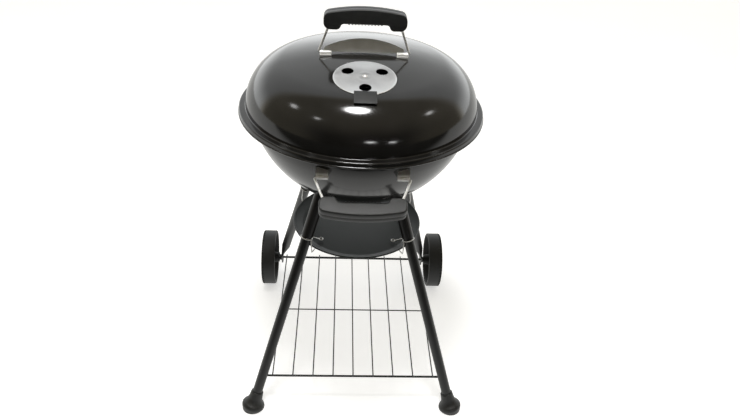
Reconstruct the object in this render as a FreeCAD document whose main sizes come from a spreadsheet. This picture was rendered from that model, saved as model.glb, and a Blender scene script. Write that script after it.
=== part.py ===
"""Kettle charcoal grill: a round bowl and lid of enamelled sheet on four tube legs.

The origin is on the floor, under the middle of the whole grill.  X runs left to right, Y runs from the
front to the wheels at the back, and Z is up.  Every size is in millimetres or degrees.
"""

import FreeCAD, Part
import math
import os
import re
import Sketcher

Vector = FreeCAD.Vector
Placement = FreeCAD.Placement
Rotation = FreeCAD.Rotation

DRIVING_SIZES = [
    # the bowl
    ("rim_height", 665, "floor to the line where the bowl's wall turns straight"),
    ("bowl_radius", 218, "outside of the bowl's wall"),
    ("bowl_depth", 186, "from that line down to the bowl's lowest point"),
    ("bowl_shoulder", 110, "radius of the curve from the wall into the bottom"),
    ("sheet_wall", 1.2, "thickness of the enamelled sheet"),
    ("middle_flat", 1, "radius of the flat spot in the middle of each drawn sheet"),
    ("bead_radius", 4, "rolled edge of the bowl"),
    ("bead_rise", 8.5, "straight wall below the middle of the rolled edge"),
    # the lid
    ("lid_step", 10.5, "how much wider the lid's wall is than the bowl's"),
    ("lid_flange", 13, "width of the flat flange round the lid"),
    ("lid_shoulder", 92.5, "radius of the curve from the lid's wall into its top"),
    ("lid_crown", 750, "radius of the lid's nearly flat top"),
    ("skirt_drop", 10.2, "flange to the middle of the skirt's rolled edge"),
    ("skirt_bead", 2.1, "radius of the skirt's rolled edge"),
    ("flange_corner", 3, "outside bend between flange and skirt"),
    ("seat_gap", 0.3, "room between pieces that lift off each other"),
    ("fit_gap", 0.05, "radial room where one round piece is pushed into another"),
    ("drill_reach", 20, "how far from a sheet its drill starts"),
    # the dampers
    ("damper_radius", 57.5, "the turning disc"),
    ("damper_sheet", 1.0, "thickness of the disc"),
    ("vent_pitch", 36, "middle of the disc to the middle of a vent hole"),
    ("vent_hole", 11, "radius of a vent hole"),
    ("vent_forward", 106, "lid's axis to the middle of its damper"),
    ("rivet_radius", 2.5, "shank of a damper's rivet"),
    ("rivet_head", 5, "radius of a rivet's head"),
    ("rivet_tail", 1.2, "thickness of a rivet's closed end"),
    ("rivet_seat", 0.06, "sheet to a rivet's closed end"),
    ("rivet_brim", 0.6, "height of the edge of a rivet's head"),
    ("rivet_dome", 2.6, "height of a rivet's head"),
    ("turning_gap", 0.08, "radial play of what turns on a pin"),
    ("tab_width", 40, "plastic finger tab on the lid's damper"),
    ("tab_reach", 80, "middle of the damper to the end of its tab"),
    ("tab_thickness", 2.6, "plastic finger tab"),
    ("tab_start", 2, "vent holes to the inner end of the tab"),
    ("tab_gap", 0.1, "room between the tab and its disc"),
    ("ear_inset", 8, "edge of the lower damper to its bent ear"),
    ("ear_sink", 0.2, "how far the ear is let into its disc"),
    ("ear_height", 16, "how far the ear stands off its disc"),
    ("ear_width", 18, "width of the ear"),
    # the handles
    ("grip_length", 154, "plastic grip, end to end"),
    ("grip_rise", 87, "handle wire's pivot line to the top of the grip"),
    ("grip_depth", 28, "grip's height in the middle"),
    ("grip_thickness", 26, "grip, front to back"),
    ("grip_boss", 10, "how far the grip's ends reach below its middle"),
    ("grip_boss_width", 24, "end of the grip to where its underside starts to rise"),
    ("boss_slope", 75, "steepest slope between the grip's ends and its finger gap"),
    ("grip_corner", 12.5, "rounding of the grip's corners, seen from the front"),
    ("grip_crown", 9, "how far the grip's top falls from middle to ends"),
    ("grip_round", 6, "rounding of the grip's long edges"),
    ("rib_count", 11, "finger ribs under the grip"),
    ("rib_pitch", 6, "spacing of the finger ribs"),
    ("rib_radius", 1.6, "height of a finger rib"),
    ("rib_sink", 0.3, "how far a rib's middle lies inside the grip"),
    ("handle_wire", 4.5, "thickness of the handle's steel wire"),
    ("wire_span", 90, "middle of the handle to the wire's outer bend"),
    ("wire_bend", 4, "inside of the wire's bends, to its middle line"),
    ("wire_inset", 1, "bracket's inner end to the end of the wire"),
    ("wire_gap", 0.03, "radial room of the wire in its bracket"),
    ("bracket_inner", 62, "middle of the handle to the bracket's inner end"),
    ("bracket_length", 22, "a bracket's sleeve"),
    ("bracket_wall", 2.2, "sheet of a bracket's sleeve"),
    ("bracket_foot", 15, "width of a bracket's foot"),
    ("foot_stock", 29, "length of bar that a bracket's foot is trimmed from"),
    ("lid_handle_forward", 15, "lid's axis to the plane of its handle"),
    ("handle_drop", 32.7, "rim line down to the bowl handle's brackets"),
    ("handle_droop", 24, "slope of the bowl handle below level"),
    ("bracket_stand", 9, "bowl's wall to the middle of the handle's wire, at the brackets"),
    ("shield_width", 152, "heat shield, end to end"),
    ("shield_height", 27, "heat shield in the middle"),
    ("shield_ends", 8, "heat shield at its ends"),
    ("shield_lean", 30, "backward lean of the heat shield"),
    ("shield_sheet", 1.0, "thickness of the heat shield"),
    ("shield_rise", 0.6, "wire's middle up to the heat shield's lower edge"),
    # the grates
    ("cook_drop", 14, "rim line down to the cooking grate's ring"),
    ("cook_margin", 4, "bowl's wall to the cooking grate"),
    ("cook_ring", 2.5, "radius of the cooking grate's ring wire"),
    ("cook_rod", 2, "radius of the cooking grate's rods"),
    ("cook_pitch", 15, "spacing of the cooking grate's rods"),
    ("coal_radius", 172, "outside of the charcoal grate"),
    ("coal_ring", 3, "radius of the charcoal grate's ring wire"),
    ("coal_rod", 2.5, "radius of the charcoal grate's rods"),
    ("coal_pitch", 24, "spacing of the charcoal grate's rods"),
    ("cross_share", 0.45, "place of a grate's cross rods, as a share of its radius"),
    ("weld_sink", 0.6, "how far welded pieces sink into each other"),
    ("tab_depth", 11, "how far a grate tab stands in from the wall"),
    ("tab_sheet", 1.5, "thickness of a grate tab"),
    ("tab_arc", 6, "width of a grate tab, in degrees of the bowl"),
    # the legs
    ("leg_ring", 110, "kettle's axis to the top of each leg"),
    ("front_leg_turn", 44, "front legs' place round the bowl, from the X axis"),
    ("rear_leg_turn", 28.5, "rear legs' place round the bowl, from the X axis"),
    ("foot_side", 230, "middle line to a front foot on the floor"),
    ("foot_forward", 205, "kettle's axis to a front foot on the floor"),
    ("axle_back", 254, "kettle's axis to the axle"),
    ("leg_end_side", 197.5, "middle line to a rear leg's line at the axle"),
    ("leg_tube", 22, "outside of a lower leg"),
    ("leg_wall", 1.2, "wall of the leg tubes"),
    ("socket_wall", 1.45, "wall of an upper leg, which slips over the lower one"),
    ("socket_end", 418, "floor to the lower end of an upper leg"),
    ("leg_insert", 50, "how far a lower leg reaches into the upper one"),
    ("leg_stock", 25, "upper leg above the bowl's skin, before it is trimmed to the bowl"),
    ("leg_spread", 1.08, "how much wider a sloping leg is when it is cut level"),
    ("crush_top", 140, "floor to where a rear leg starts to flatten"),
    ("crush_end", 102, "floor to where a rear leg is flat"),
    ("flat_side", 195.4, "middle line to the middle of the flattened end"),
    ("flat_thickness", 3.2, "flattened end of a rear leg"),
    ("flat_width", 32, "width of the flattened end"),
    ("foot_radius", 25.8, "widest part of a plastic foot"),
    ("foot_collar", 14, "radius of a foot's collar"),
    ("foot_height", 44, "length of a foot along the leg"),
    ("foot_sole", 14, "foot below the leg's end, before it is cut level with the floor"),
    ("foot_belly", 4, "leg's end up to the widest part of its foot"),
    ("foot_neck", 28, "leg's end up to the foot's collar"),
    ("foot_floor", 6, "leg's end up to the bottom of the foot's bore"),
    ("floor_stock", 60, "half the width of the block that cuts a foot level"),
    # wheels and axle
    ("wheel_radius", 75, "outside of a wheel"),
    ("wheel_width", 36, "width of the tread"),
    ("tread_edge", 2.5, "width and depth of the rounding at the tread's edge"),
    ("tread_round", 3.5, "radius of that rounding"),
    ("spoke_wall", 3, "thickness of a rib on the web"),
    ("wheel_side", 230, "middle line to the middle of a wheel"),
    ("tread_wall", 7, "thickness of the tread ring"),
    ("web_wall", 5, "thickness of the wheel's web"),
    ("hub_radius", 15, "outside of the wheel's hub"),
    ("hub_inner", 26, "middle of the wheel to the hub's inner end"),
    ("hub_outer", 12, "middle of the wheel to the hub's outer end"),
    ("wheel_spokes", 6, "ribs that stiffen the wheel's web"),
    ("lug_count", 48, "notches round the outer edge of the tread"),
    ("lug_gap", 4.5, "width of a notch"),
    ("lug_depth", 2.4, "depth of a notch"),
    ("lug_length", 6, "length of a notch across the tread"),
    ("axle_radius", 3, "steel axle"),
    ("cap_radius", 8, "push-on cap at the axle's end"),
    ("cap_height", 5, "height of that cap"),
    ("washer_radius", 8, "spacer between leg and wheel"),
    # the shelf
    ("shelf_rod", 1.5, "radius of the shelf's thin wires"),
    ("shelf_bar", 2.5, "radius of the shelf's front bar"),
    ("shelf_pitch", 45.9, "spacing of the shelf's wires"),
    ("shelf_wires", 9, "wires that run front to back"),
    ("shelf_front", 179, "kettle's axis to the front bar"),
    ("shelf_middle", 40, "kettle's axis to the middle bar, backwards"),
    ("shelf_tail", 5, "how far the wires pass the bars at each end"),
    # the ash plate
    ("plate_height", 392, "floor to the edge of the ash plate"),
    ("plate_gap", 1.2, "legs to the edge of the ash plate"),
    ("plate_dish", 9, "depth of the ash plate"),
    ("plate_slope", 22, "width of the ash plate's sloping edge"),
    ("plate_sheet", 0.8, "thickness of the ash plate"),
    ("plate_bead", 1.6, "radius of the ash plate's rolled edge"),
    ("clip_wire", 2.2, "thickness of a spring clip's wire"),
    ("clip_drop", 5, "upper leg's end down to the clip"),
    ("clip_eye", 4, "radius of the eye at the clip's end"),
    ("clip_arm", 40, "how far a clip's arm reaches over the plate"),
    ("clip_root", 2, "leg's middle line to where a clip's arms start"),
    ("clip_rise", 4, "ash plate up to a clip's eye"),
    ("clip_swing", 3, "how far the lower arm stands out from the clip's ring"),
    ("clip_hook", 6, "sideways reach of the lower arm under the plate"),
    ("clip_gap", 0.4, "ash plate down to the lower arm"),
]

VENT_TURNS = (30, 150, 270)
TAB_TURNS = (45, 135, 225, 315)
# a length in millimetres, or a volume in cubic millimetres, that counts as nothing
NOTHING = 0.01

# ---------------------------------------------------------------------------------------------------
# The document, its sheet of sizes, and short ways to build in it

doc = FreeCAD.newDocument("kettle_grill")
sheet = doc.addObject("Spreadsheet::Sheet", "Sizes")
for row, (alias, value, meaning) in enumerate(DRIVING_SIZES, start=1):
    sheet.set(f"A{row}", str(value))
    sheet.setAlias(f"A{row}", alias)
    sheet.set(f"B{row}", meaning)
doc.recompute()

SIZE_NAMES = {alias for alias, value, meaning in DRIVING_SIZES}
sub_parts = {}


def sized(formula):
    """Point the size names in a formula at the sheet."""
    return re.sub(r"[a-z]+(_[a-z]+)+",
                  lambda word: ("Sizes." if word.group(0) in SIZE_NAMES else "") + word.group(0), formula)


def amount(formula):
    """The number that a formula comes to."""
    return float(sheet.evalExpression(sized(formula)))


def bind(thing, prop, formula):
    """Tie a property to the sheet."""
    thing.setExpression(prop, sized(formula))


def vector(point):
    """A point given as three formulas."""
    return Vector(*[amount(formula) for formula in point])


def keep(name, thing):
    """Name a finished sub-part; its label names its file."""
    thing.Label = name
    sub_parts[name] = thing
    return thing


def mirror_name(side):
    """The word for one side of the grill."""
    return "left" if side < 0 else "right"


# Formulas that several pieces share
BOWL_RUN = "(bowl_radius - bowl_shoulder)"
BOWL_CROWN = f"((bowl_depth^2 + {BOWL_RUN}^2 - bowl_shoulder^2) / (2 * (bowl_depth - bowl_shoulder)))"
BOWL_CENTRE = f"(rim_height - bowl_depth + {BOWL_CROWN})"
LID_RADIUS = "(bowl_radius + lid_step)"
LID_RUN = f"({LID_RADIUS} - lid_shoulder)"
LID_BASE = "(rim_height + bead_rise + bead_radius + seat_gap + sheet_wall)"
LID_CENTRE = f"({LID_BASE} - sqrt((lid_crown - lid_shoulder)^2 - {LID_RUN}^2))"
LEG_TOP = f"({BOWL_CENTRE} - sqrt({BOWL_CROWN}^2 - leg_ring^2))"
HANDLE_FORWARD = (f"({BOWL_RUN} + sqrt(bowl_shoulder^2 - handle_drop^2) + bracket_stand - "
                  f"(bowl_radius - sqrt(bowl_radius^2 - bracket_inner^2)))")
FRONT_REACH = f"({HANDLE_FORWARD} + grip_rise * cos(handle_droop) + grip_thickness / 2 * sin(handle_droop))"
KETTLE_FORWARD = f"((axle_back + wheel_radius - {FRONT_REACH}) / 2)"

# Everything is laid out from the kettle's axis, which stands a little in front of the origin.
KETTLE = Placement(Vector(0, -amount(KETTLE_FORWARD), 0), Rotation())


def at(point, turn=Rotation()):
    """A place measured from the kettle's axis on the floor."""
    return KETTLE * Placement(vector(point), turn)


def primitive(kind, name, place, **sizes):
    """A Part primitive whose sizes are formulas."""
    thing = doc.addObject("Part::" + kind, name)
    for prop, formula in sizes.items():
        bind(thing, prop, formula)
    thing.Placement = place
    return thing


def rod(name, start, end, radius):
    """A round bar between two points."""
    way = vector(end) - vector(start)
    length = "sqrt(" + " + ".join(f"(({b}) - ({a}))^2" for a, b in zip(start, end)) + ")"
    place = at(start, Rotation(Vector(0, 0, 1), way))
    return primitive("Cylinder", name, place, Radius=radius, Height=length)


def fuse(name, things):
    """Join several solids, or hold solids that do not touch in one sub-part."""
    joined = doc.addObject("Part::MultiFuse", name)
    joined.Shapes = things
    return joined


def cut(name, base, tool):
    """Take one solid away from another."""
    result = doc.addObject("Part::Cut", name)
    result.Base = base
    result.Tool = tool
    return result


def new_body(name, place=KETTLE):
    """An empty body at its place."""
    body = doc.addObject("PartDesign::Body", name)
    body.Placement = place
    return body


def new_sketch(body, role, name, offset=Placement()):
    """A sketch on one of the body's own origin planes."""
    plane = next(item for item in body.Origin.OriginFeatures if item.Role == role)
    sketch = body.newObject("Sketcher::SketchObject", name)
    sketch.AttachmentSupport = (plane, [""])
    sketch.MapMode = "FlatFace"
    sketch.AttachmentOffset = offset
    return sketch


def pin_point(sketch, edge, end, x, y, tag):
    """Hold one point of a sketch with two named dimensions."""
    for axis, kind, formula in ((-2, "DistanceX", x), (-1, "DistanceY", y)):
        if formula == "0":
            sketch.addConstraint(Sketcher.Constraint("PointOnObject", edge, end, axis))
            continue
        number = sketch.addConstraint(Sketcher.Constraint(kind, -1, 1, edge, end, amount(formula)))
        sketch.renameConstraint(number, kind[-1].lower() + tag)
        bind(sketch, "Constraints." + kind[-1].lower() + tag, formula)


def short_arc(start, end, radius, side):
    """The shorter arc between two points, its centre to the left (1) or right (-1) of the way."""
    middle = (start + end) / 2
    left = Vector(start.y - end.y, end.x - start.x, 0).normalize()
    centre = middle + left * side * math.sqrt(radius**2 - (end - start).Length**2 / 4)
    # a sketch wants its arcs to run anticlockwise
    first, last = (start - centre, end - centre) if side > 0 else (end - centre, start - centre)
    first_angle = math.atan2(first.y, first.x)
    sweep = (math.atan2(last.y, last.x) - first_angle) % (2 * math.pi)
    return Part.ArcOfCircle(Part.Circle(centre, Vector(0, 0, 1), radius), first_angle, first_angle + sweep)


def outline(sketch, corners, closed=True):
    """Draw an outline. A corner is (x, y), or (x, y, radius, side) where an arc leads to the next one."""
    points = [Vector(amount(corner[0]), amount(corner[1]), 0) for corner in corners]
    last = len(corners) if closed else len(corners) - 1
    edges = []
    first_ends = []
    for index in range(last):
        start, end = points[index], points[(index + 1) % len(points)]
        corner = corners[index]
        shape = Part.LineSegment(start, end)
        if len(corner) > 2:
            shape = short_arc(start, end, amount(corner[2]), corner[3])
        edges.append(sketch.addGeometry(shape, False))
        drawn = sketch.Geometry[edges[-1]]
        first_ends.append(1 if (drawn.StartPoint - start).Length < (drawn.EndPoint - start).Length else 2)

    for index in range(last):
        edge, corner, end = edges[index], corners[index], first_ends[index]
        if closed or index > 0:
            before, before_end = edges[index - 1], 3 - first_ends[index - 1]
            sketch.addConstraint(Sketcher.Constraint("Coincident", before, before_end, edge, end))
        pin_point(sketch, edge, end, corner[0], corner[1], str(index))
        if len(corner) > 2:
            number = sketch.addConstraint(Sketcher.Constraint("Radius", edge, amount(corner[2])))
            sketch.renameConstraint(number, f"radius{index}")
            bind(sketch, f"Constraints.radius{index}", corner[2])
    if not closed:
        pin_point(sketch, edges[-1], 3 - first_ends[-1], corners[-1][0], corners[-1][1], "last")
    return sketch


def circles(sketch, places):
    """Draw circles given as (x, y, radius)."""
    for index, (x, y, radius) in enumerate(places):
        centre = Vector(amount(x), amount(y), 0)
        edge = sketch.addGeometry(Part.Circle(centre, Vector(0, 0, 1), amount(radius)), False)
        pin_point(sketch, edge, 3, x, y, f"c{index}")
        number = sketch.addConstraint(Sketcher.Constraint("Radius", edge, amount(radius)))
        sketch.renameConstraint(number, f"round{index}")
        bind(sketch, f"Constraints.round{index}", radius)
    return sketch


def revolve(body, sketch, axis="V_Axis"):
    """Turn a sketch all the way round one of its axes."""
    turned = body.newObject("PartDesign::Revolution", body.Name + "_turned")
    turned.Profile = sketch
    turned.ReferenceAxis = (sketch, [axis])
    turned.Angle = 360
    doc.recompute()
    return turned


def pad(body, sketch, length, side="Symmetric"):
    """Thicken a sketch."""
    padded = body.newObject("PartDesign::Pad", sketch.Name + "_pad")
    padded.Profile = sketch
    padded.SideType = side
    bind(padded, "Length", length)
    doc.recompute()
    return padded


def pocket(body, sketch, length=None, backwards=False):
    """Cut a sketch away, right through when no length is given; it must take something off."""
    before = body.Shape.Volume
    cutter = body.newObject("PartDesign::Pocket", sketch.Name + "_pocket")
    cutter.Profile = sketch
    cutter.Reversed = backwards
    if length is None:
        cutter.Type = "ThroughAll"
    else:
        bind(cutter, "Length", length)
    doc.recompute()
    if body.Shape.Volume > before - NOTHING:
        raise RuntimeError(body.Name + ": a pocket points away from the metal")
    return cutter


def around(body, feature, sketch, axis, count):
    """Repeat a feature evenly all the way round."""
    pattern = body.newObject("PartDesign::PolarPattern", feature.Name + "_ring")
    pattern.Originals = [feature]
    pattern.Axis = (sketch, [axis])
    pattern.Angle = 360
    bind(pattern, "Occurrences", count)
    body.Tip = pattern
    doc.recompute()
    return pattern


# ---------------------------------------------------------------------------------------------------
# Bowl and lid

def bowl_curve(inset):
    """Outline of the bowl from its axis up to the rim line, set in from the outside by a wall."""
    crown = f"({BOWL_CROWN} - {inset})"
    share = f"((bowl_shoulder - {inset}) / ({BOWL_CROWN} - bowl_shoulder))"
    middle = f"{BOWL_CENTRE} - sqrt({crown}^2 - middle_flat^2)"
    return [("0", middle), ("middle_flat", middle, crown, 1),
            (f"{BOWL_RUN} * (1 + {share})", f"rim_height + (rim_height - {BOWL_CENTRE}) * {share}",
             f"bowl_shoulder - {inset}", 1),
            (f"bowl_radius - {inset}", "rim_height")]


def lid_curve(inset):
    """Outline of the lid from its axis down to its base, set in from the outside by a wall."""
    crown = f"(lid_crown - {inset})"
    share = f"((lid_shoulder - {inset}) / (lid_crown - lid_shoulder))"
    middle = f"{LID_CENTRE} + sqrt({crown}^2 - middle_flat^2)"
    return [("0", middle), ("middle_flat", middle, crown, -1),
            (f"{LID_RUN} * (1 + {share})", f"{LID_BASE} + ({LID_BASE} - {LID_CENTRE}) * {share}",
             f"lid_shoulder - {inset}", -1),
            (f"{LID_RADIUS} - {inset}", LID_BASE)]


def backwards(corners):
    """The same outline drawn the other way."""
    points = [corner[:2] for corner in corners][::-1]
    arcs = [corner[2:] for corner in corners[:-1]][::-1]
    turned = [point + ((arc[0], -arc[1]) if arc else ()) for point, arc in zip(points, arcs)]
    return turned + [points[-1]]


def envelope(name, corners, edge_height):
    """The solid that a shell's outside would fill, for trimming what stands against it."""
    body = new_body(name)
    sketch = new_sketch(body, "XZ_Plane", name + "_outline")
    outline(sketch, corners[:-1] + [corners[-1][:2], (corners[-1][0], edge_height), ("0", edge_height)])
    revolve(body, sketch)
    return body


def vent_circles():
    """Three vent holes and the rivet's hole, round the middle of a damper."""
    holes = [("0", "0", "rivet_radius")]
    for turn in VENT_TURNS:
        holes.append((f"vent_pitch * cos({turn})", f"vent_pitch * sin({turn})", "vent_hole"))
    return holes


def make_bowl():
    """The bowl: one drawn sheet with a rolled edge and three holes in its bottom."""
    bead_x = "(bowl_radius + bead_radius / 2)"
    bead_y = "(rim_height + bead_rise)"
    body = new_body("bowl_body")
    sketch = new_sketch(body, "XZ_Plane", "bowl_section")
    inner = bowl_curve("sheet_wall")
    rim = [("bowl_radius - sheet_wall",
            f"{bead_y} - sqrt(bead_radius^2 - (bead_radius / 2 + sheet_wall)^2)", "bead_radius", -1),
           (bead_x, f"{bead_y} + bead_radius", "bead_radius", -1),
           (f"{bead_x} + bead_radius", bead_y, "bead_radius", -1),
           ("bowl_radius", f"{bead_y} - bead_radius * sqrt(0.75)")]
    outline(sketch, inner + rim + backwards(bowl_curve("0")))
    revolve(body, sketch)
    below = Placement(Vector(0, 0, amount("rim_height - bowl_depth - drill_reach")), Rotation())
    holes = circles(new_sketch(body, "XY_Plane", "bowl_vents", below), vent_circles())
    pocket(body, holes, "2 * drill_reach", backwards=True)
    return keep("bowl_shell", body)


def make_lid():
    """The lid: a drawn dome with a flat flange, a turned-down skirt and three vent holes."""
    skirt = f"({LID_RADIUS} + lid_flange)"
    bead_y = f"({LID_BASE} - skirt_drop)"
    neck = f"({bead_y} + sqrt(skirt_bead^2 - sheet_wall^2 / 4))"
    body = new_body("lid_body")
    sketch = new_sketch(body, "XZ_Plane", "lid_section")
    edge = [(f"{skirt} - flange_corner", LID_BASE, "flange_corner", -1),
            (skirt, f"{LID_BASE} - flange_corner"),
            (skirt, neck, "skirt_bead", -1),
            (f"{skirt} - sheet_wall / 2", f"{bead_y} - skirt_bead", "skirt_bead", -1),
            (f"{skirt} - sheet_wall", neck),
            (f"{skirt} - sheet_wall", f"{LID_BASE} - flange_corner", "flange_corner - sheet_wall", 1),
            (f"{skirt} - flange_corner", f"{LID_BASE} - sheet_wall"),
            (f"{LID_RADIUS} - sheet_wall", f"{LID_BASE} - sheet_wall")]
    outline(sketch, lid_curve("0") + edge + backwards(lid_curve("sheet_wall")))
    revolve(body, sketch)
    vents = new_sketch(body, "XY_Plane", "lid_vents", lid_vent_frame("drill_reach"))
    holes = circles(vents, vent_circles())
    pocket(body, holes, "2 * drill_reach")
    return keep("lid_shell", body)


def lid_vent_frame(rise="0"):
    """The damper's place on the lid: its Z stands square on the crown; measured from the lid's axis."""
    lean = math.degrees(math.asin(amount("vent_forward / lid_crown")))
    turn = Rotation(Vector(1, 0, 0), lean)
    centre = Vector(0, 0, amount(LID_CENTRE))
    return Placement(centre + turn.multVec(Vector(0, 0, amount(f"lid_crown + {rise}"))), turn)


def bowl_vent_frame():
    """The lower damper's place, hanging under the bowl with its Z pointing down."""
    return Placement(Vector(0, 0, amount("rim_height - bowl_depth")), Rotation(Vector(1, 0, 0), 180))


# ---------------------------------------------------------------------------------------------------
# Dampers: a domed disc that turns on a rivet over three holes

def make_damper(name, place, dome):
    """A disc domed to follow the sheet under it, with three holes and a bore for its rivet."""
    def arc_height(radius, reach):
        return f"sqrt(({radius})^2 - ({reach})^2) - {dome}"

    low = f"({dome} + seat_gap)"
    high = f"({low} + damper_sheet)"
    bore = "(rivet_radius + turning_gap)"
    body = new_body(name + "_body", KETTLE * place)
    sketch = new_sketch(body, "XZ_Plane", name + "_section")
    outline(sketch, [(bore, arc_height(low, bore)),
                     (bore, arc_height(high, bore), high, -1),
                     ("damper_radius", arc_height(high, "damper_radius")),
                     ("damper_radius", arc_height(low, "damper_radius"), low, 1)])
    revolve(body, sketch)
    above = Placement(Vector(0, 0, amount("drill_reach")), Rotation())
    holes = circles(new_sketch(body, "XY_Plane", name + "_holes", above), vent_circles()[1:])
    pocket(body, holes)
    return body


def make_rivet(name, place, dome):
    """A round-headed rivet that holds a damper and lets it turn."""
    seat = "(seat_gap + damper_sheet + seat_gap / 2)"
    grip = "(-sheet_wall - rivet_seat)"
    tail = f"({grip} - rivet_tail)"
    body = new_body(name + "_body", KETTLE * place)
    sketch = new_sketch(body, "XZ_Plane", name + "_section")
    outline(sketch, [("0", tail), ("rivet_head * 0.8", tail), ("rivet_head * 0.8", grip),
                     ("rivet_radius", grip), ("rivet_radius", seat), ("rivet_head", seat),
                     ("rivet_head", f"{seat} + rivet_brim", "rivet_head * 1.25", 1),
                     ("middle_flat", f"{seat} + rivet_dome"), ("0", f"{seat} + rivet_dome")])
    revolve(body, sketch)
    return keep(name, body)


def make_lid_damper():
    """The lid's damper with its plastic finger tab."""
    place = lid_vent_frame()
    keep("lid_damper", make_damper("lid_damper", place, "lid_crown"))
    make_rivet("lid_damper_rivet", place, "lid_crown")

    def above_lid(reach, gap):
        return f"(sqrt(lid_crown^2 - ({reach})^2) - lid_crown + {gap})"

    disc_top = "(seat_gap + damper_sheet)"
    start = "(vent_pitch + vent_hole + tab_start)"
    edge = "(damper_radius + 2 * tab_gap)"
    body = new_body("lid_damper_tab_body", KETTLE * place)
    sketch = new_sketch(body, "YZ_Plane", "tab_side")
    outline(sketch, [(f"-{start}", above_lid(start, disc_top + " + tab_gap")),
                     (f"-{start}", above_lid(start, disc_top + " + tab_thickness * 0.7")),
                     (f"-{edge}", above_lid(edge, disc_top + " + tab_thickness")),
                     ("-tab_reach", above_lid("tab_reach", "tab_thickness + seat_gap * 2")),
                     ("-tab_reach", above_lid("tab_reach", "seat_gap * 2")),
                     (f"-{edge}", above_lid(edge, "seat_gap * 2")),
                     (f"-{edge}", above_lid("damper_radius", disc_top + " + tab_gap"))])
    pad(body, sketch, "tab_width")
    keep("lid_damper_tab", body)


def make_bowl_damper():
    """The lower damper; a bent ear in its own sheet turns it."""
    place = bowl_vent_frame()
    body = make_damper("bowl_damper", place, BOWL_CROWN)
    ear_y = "(damper_radius - ear_inset)"
    sketch = new_sketch(body, "YZ_Plane", "damper_ear")
    low = f"(sqrt(({BOWL_CROWN} + seat_gap)^2 - ({ear_y} + damper_sheet)^2) - {BOWL_CROWN} + ear_sink)"
    outline(sketch, [(f"-{ear_y}", low), (f"-{ear_y} - damper_sheet", low),
                     (f"-{ear_y} - damper_sheet", f"{low} + ear_height"),
                     (f"-{ear_y}", f"{low} + ear_height")])
    pad(body, sketch, "ear_width")
    keep("bowl_damper", body)
    make_rivet("bowl_damper_rivet", place, BOWL_CROWN)


# ---------------------------------------------------------------------------------------------------
# Handles: a plastic grip on a bent steel wire, held in two sheet-metal brackets

def lid_handle_frame():
    """The lid handle's place: its Z points up, and its origin lies between the brackets."""
    reach = "sqrt(bracket_inner^2 + lid_handle_forward^2)"
    height = f"{LID_CENTRE} + sqrt(lid_crown^2 - {reach}^2) + handle_wire / 2 + bracket_wall / 2"
    return Placement(vector(("0", "-lid_handle_forward", height)), Rotation())


def bowl_handle_frame():
    """The bowl handle's place: its Z points forward and droops."""
    turn = Rotation(Vector(1, 0, 0), 90 + amount("handle_droop"))
    return Placement(vector(("0", f"-{HANDLE_FORWARD}", "rim_height - handle_drop")), turn)


def make_handle_wire(name, frame):
    """One steel wire: through the grip, down both sides, and in through the brackets."""
    shoulder_x = "(grip_length / 2 - grip_corner)"
    shoulder_z = "(grip_rise - grip_depth * 0.65)"
    lean_x = f"(wire_span - {shoulder_x})"
    length = f"sqrt({lean_x}^2 + {shoulder_z}^2)"
    along_x, along_z = f"({lean_x} / {length})", f"({shoulder_z} / {length})"
    # distance from each corner to where its bend starts
    low_trim = f"(wire_bend / tan((acos({along_x})) / 2))"
    high_trim = f"(wire_bend * tan((acos({along_x})) / 2))"
    side = [("bracket_inner + wire_inset", "0"),
            (f"wire_span - {low_trim}", "0", "wire_bend", 1),
            (f"wire_span - {along_x} * {low_trim}", f"{along_z} * {low_trim}"),
            (f"{shoulder_x} + {along_x} * {high_trim}", f"{shoulder_z} - {along_z} * {high_trim}",
             "wire_bend", 1),
            (f"{shoulder_x} - {high_trim}", shoulder_z)]
    mirrored = [(f"-({corner[0]})",) + corner[1:2] + arc for corner, arc in
                zip(side[::-1], [("wire_bend", 1), (), ("wire_bend", 1), (), ()])]
    body = new_body(name + "_body", KETTLE * frame)
    path = new_sketch(body, "XZ_Plane", name + "_path")
    outline(path, side + mirrored, closed=False)
    start = Placement(Vector(0, 0, amount("bracket_inner + wire_inset")), Rotation())
    section = new_sketch(body, "YZ_Plane", name + "_section", start)
    circles(section, [("0", "0", "handle_wire / 2")])
    doc.recompute()
    pipe = body.newObject("PartDesign::AdditivePipe", name + "_pipe")
    pipe.Profile = section
    pipe.Spine = (path, [f"Edge{number + 1}" for number in range(len(path.Geometry))])
    doc.recompute()
    return keep(name, body)


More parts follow.
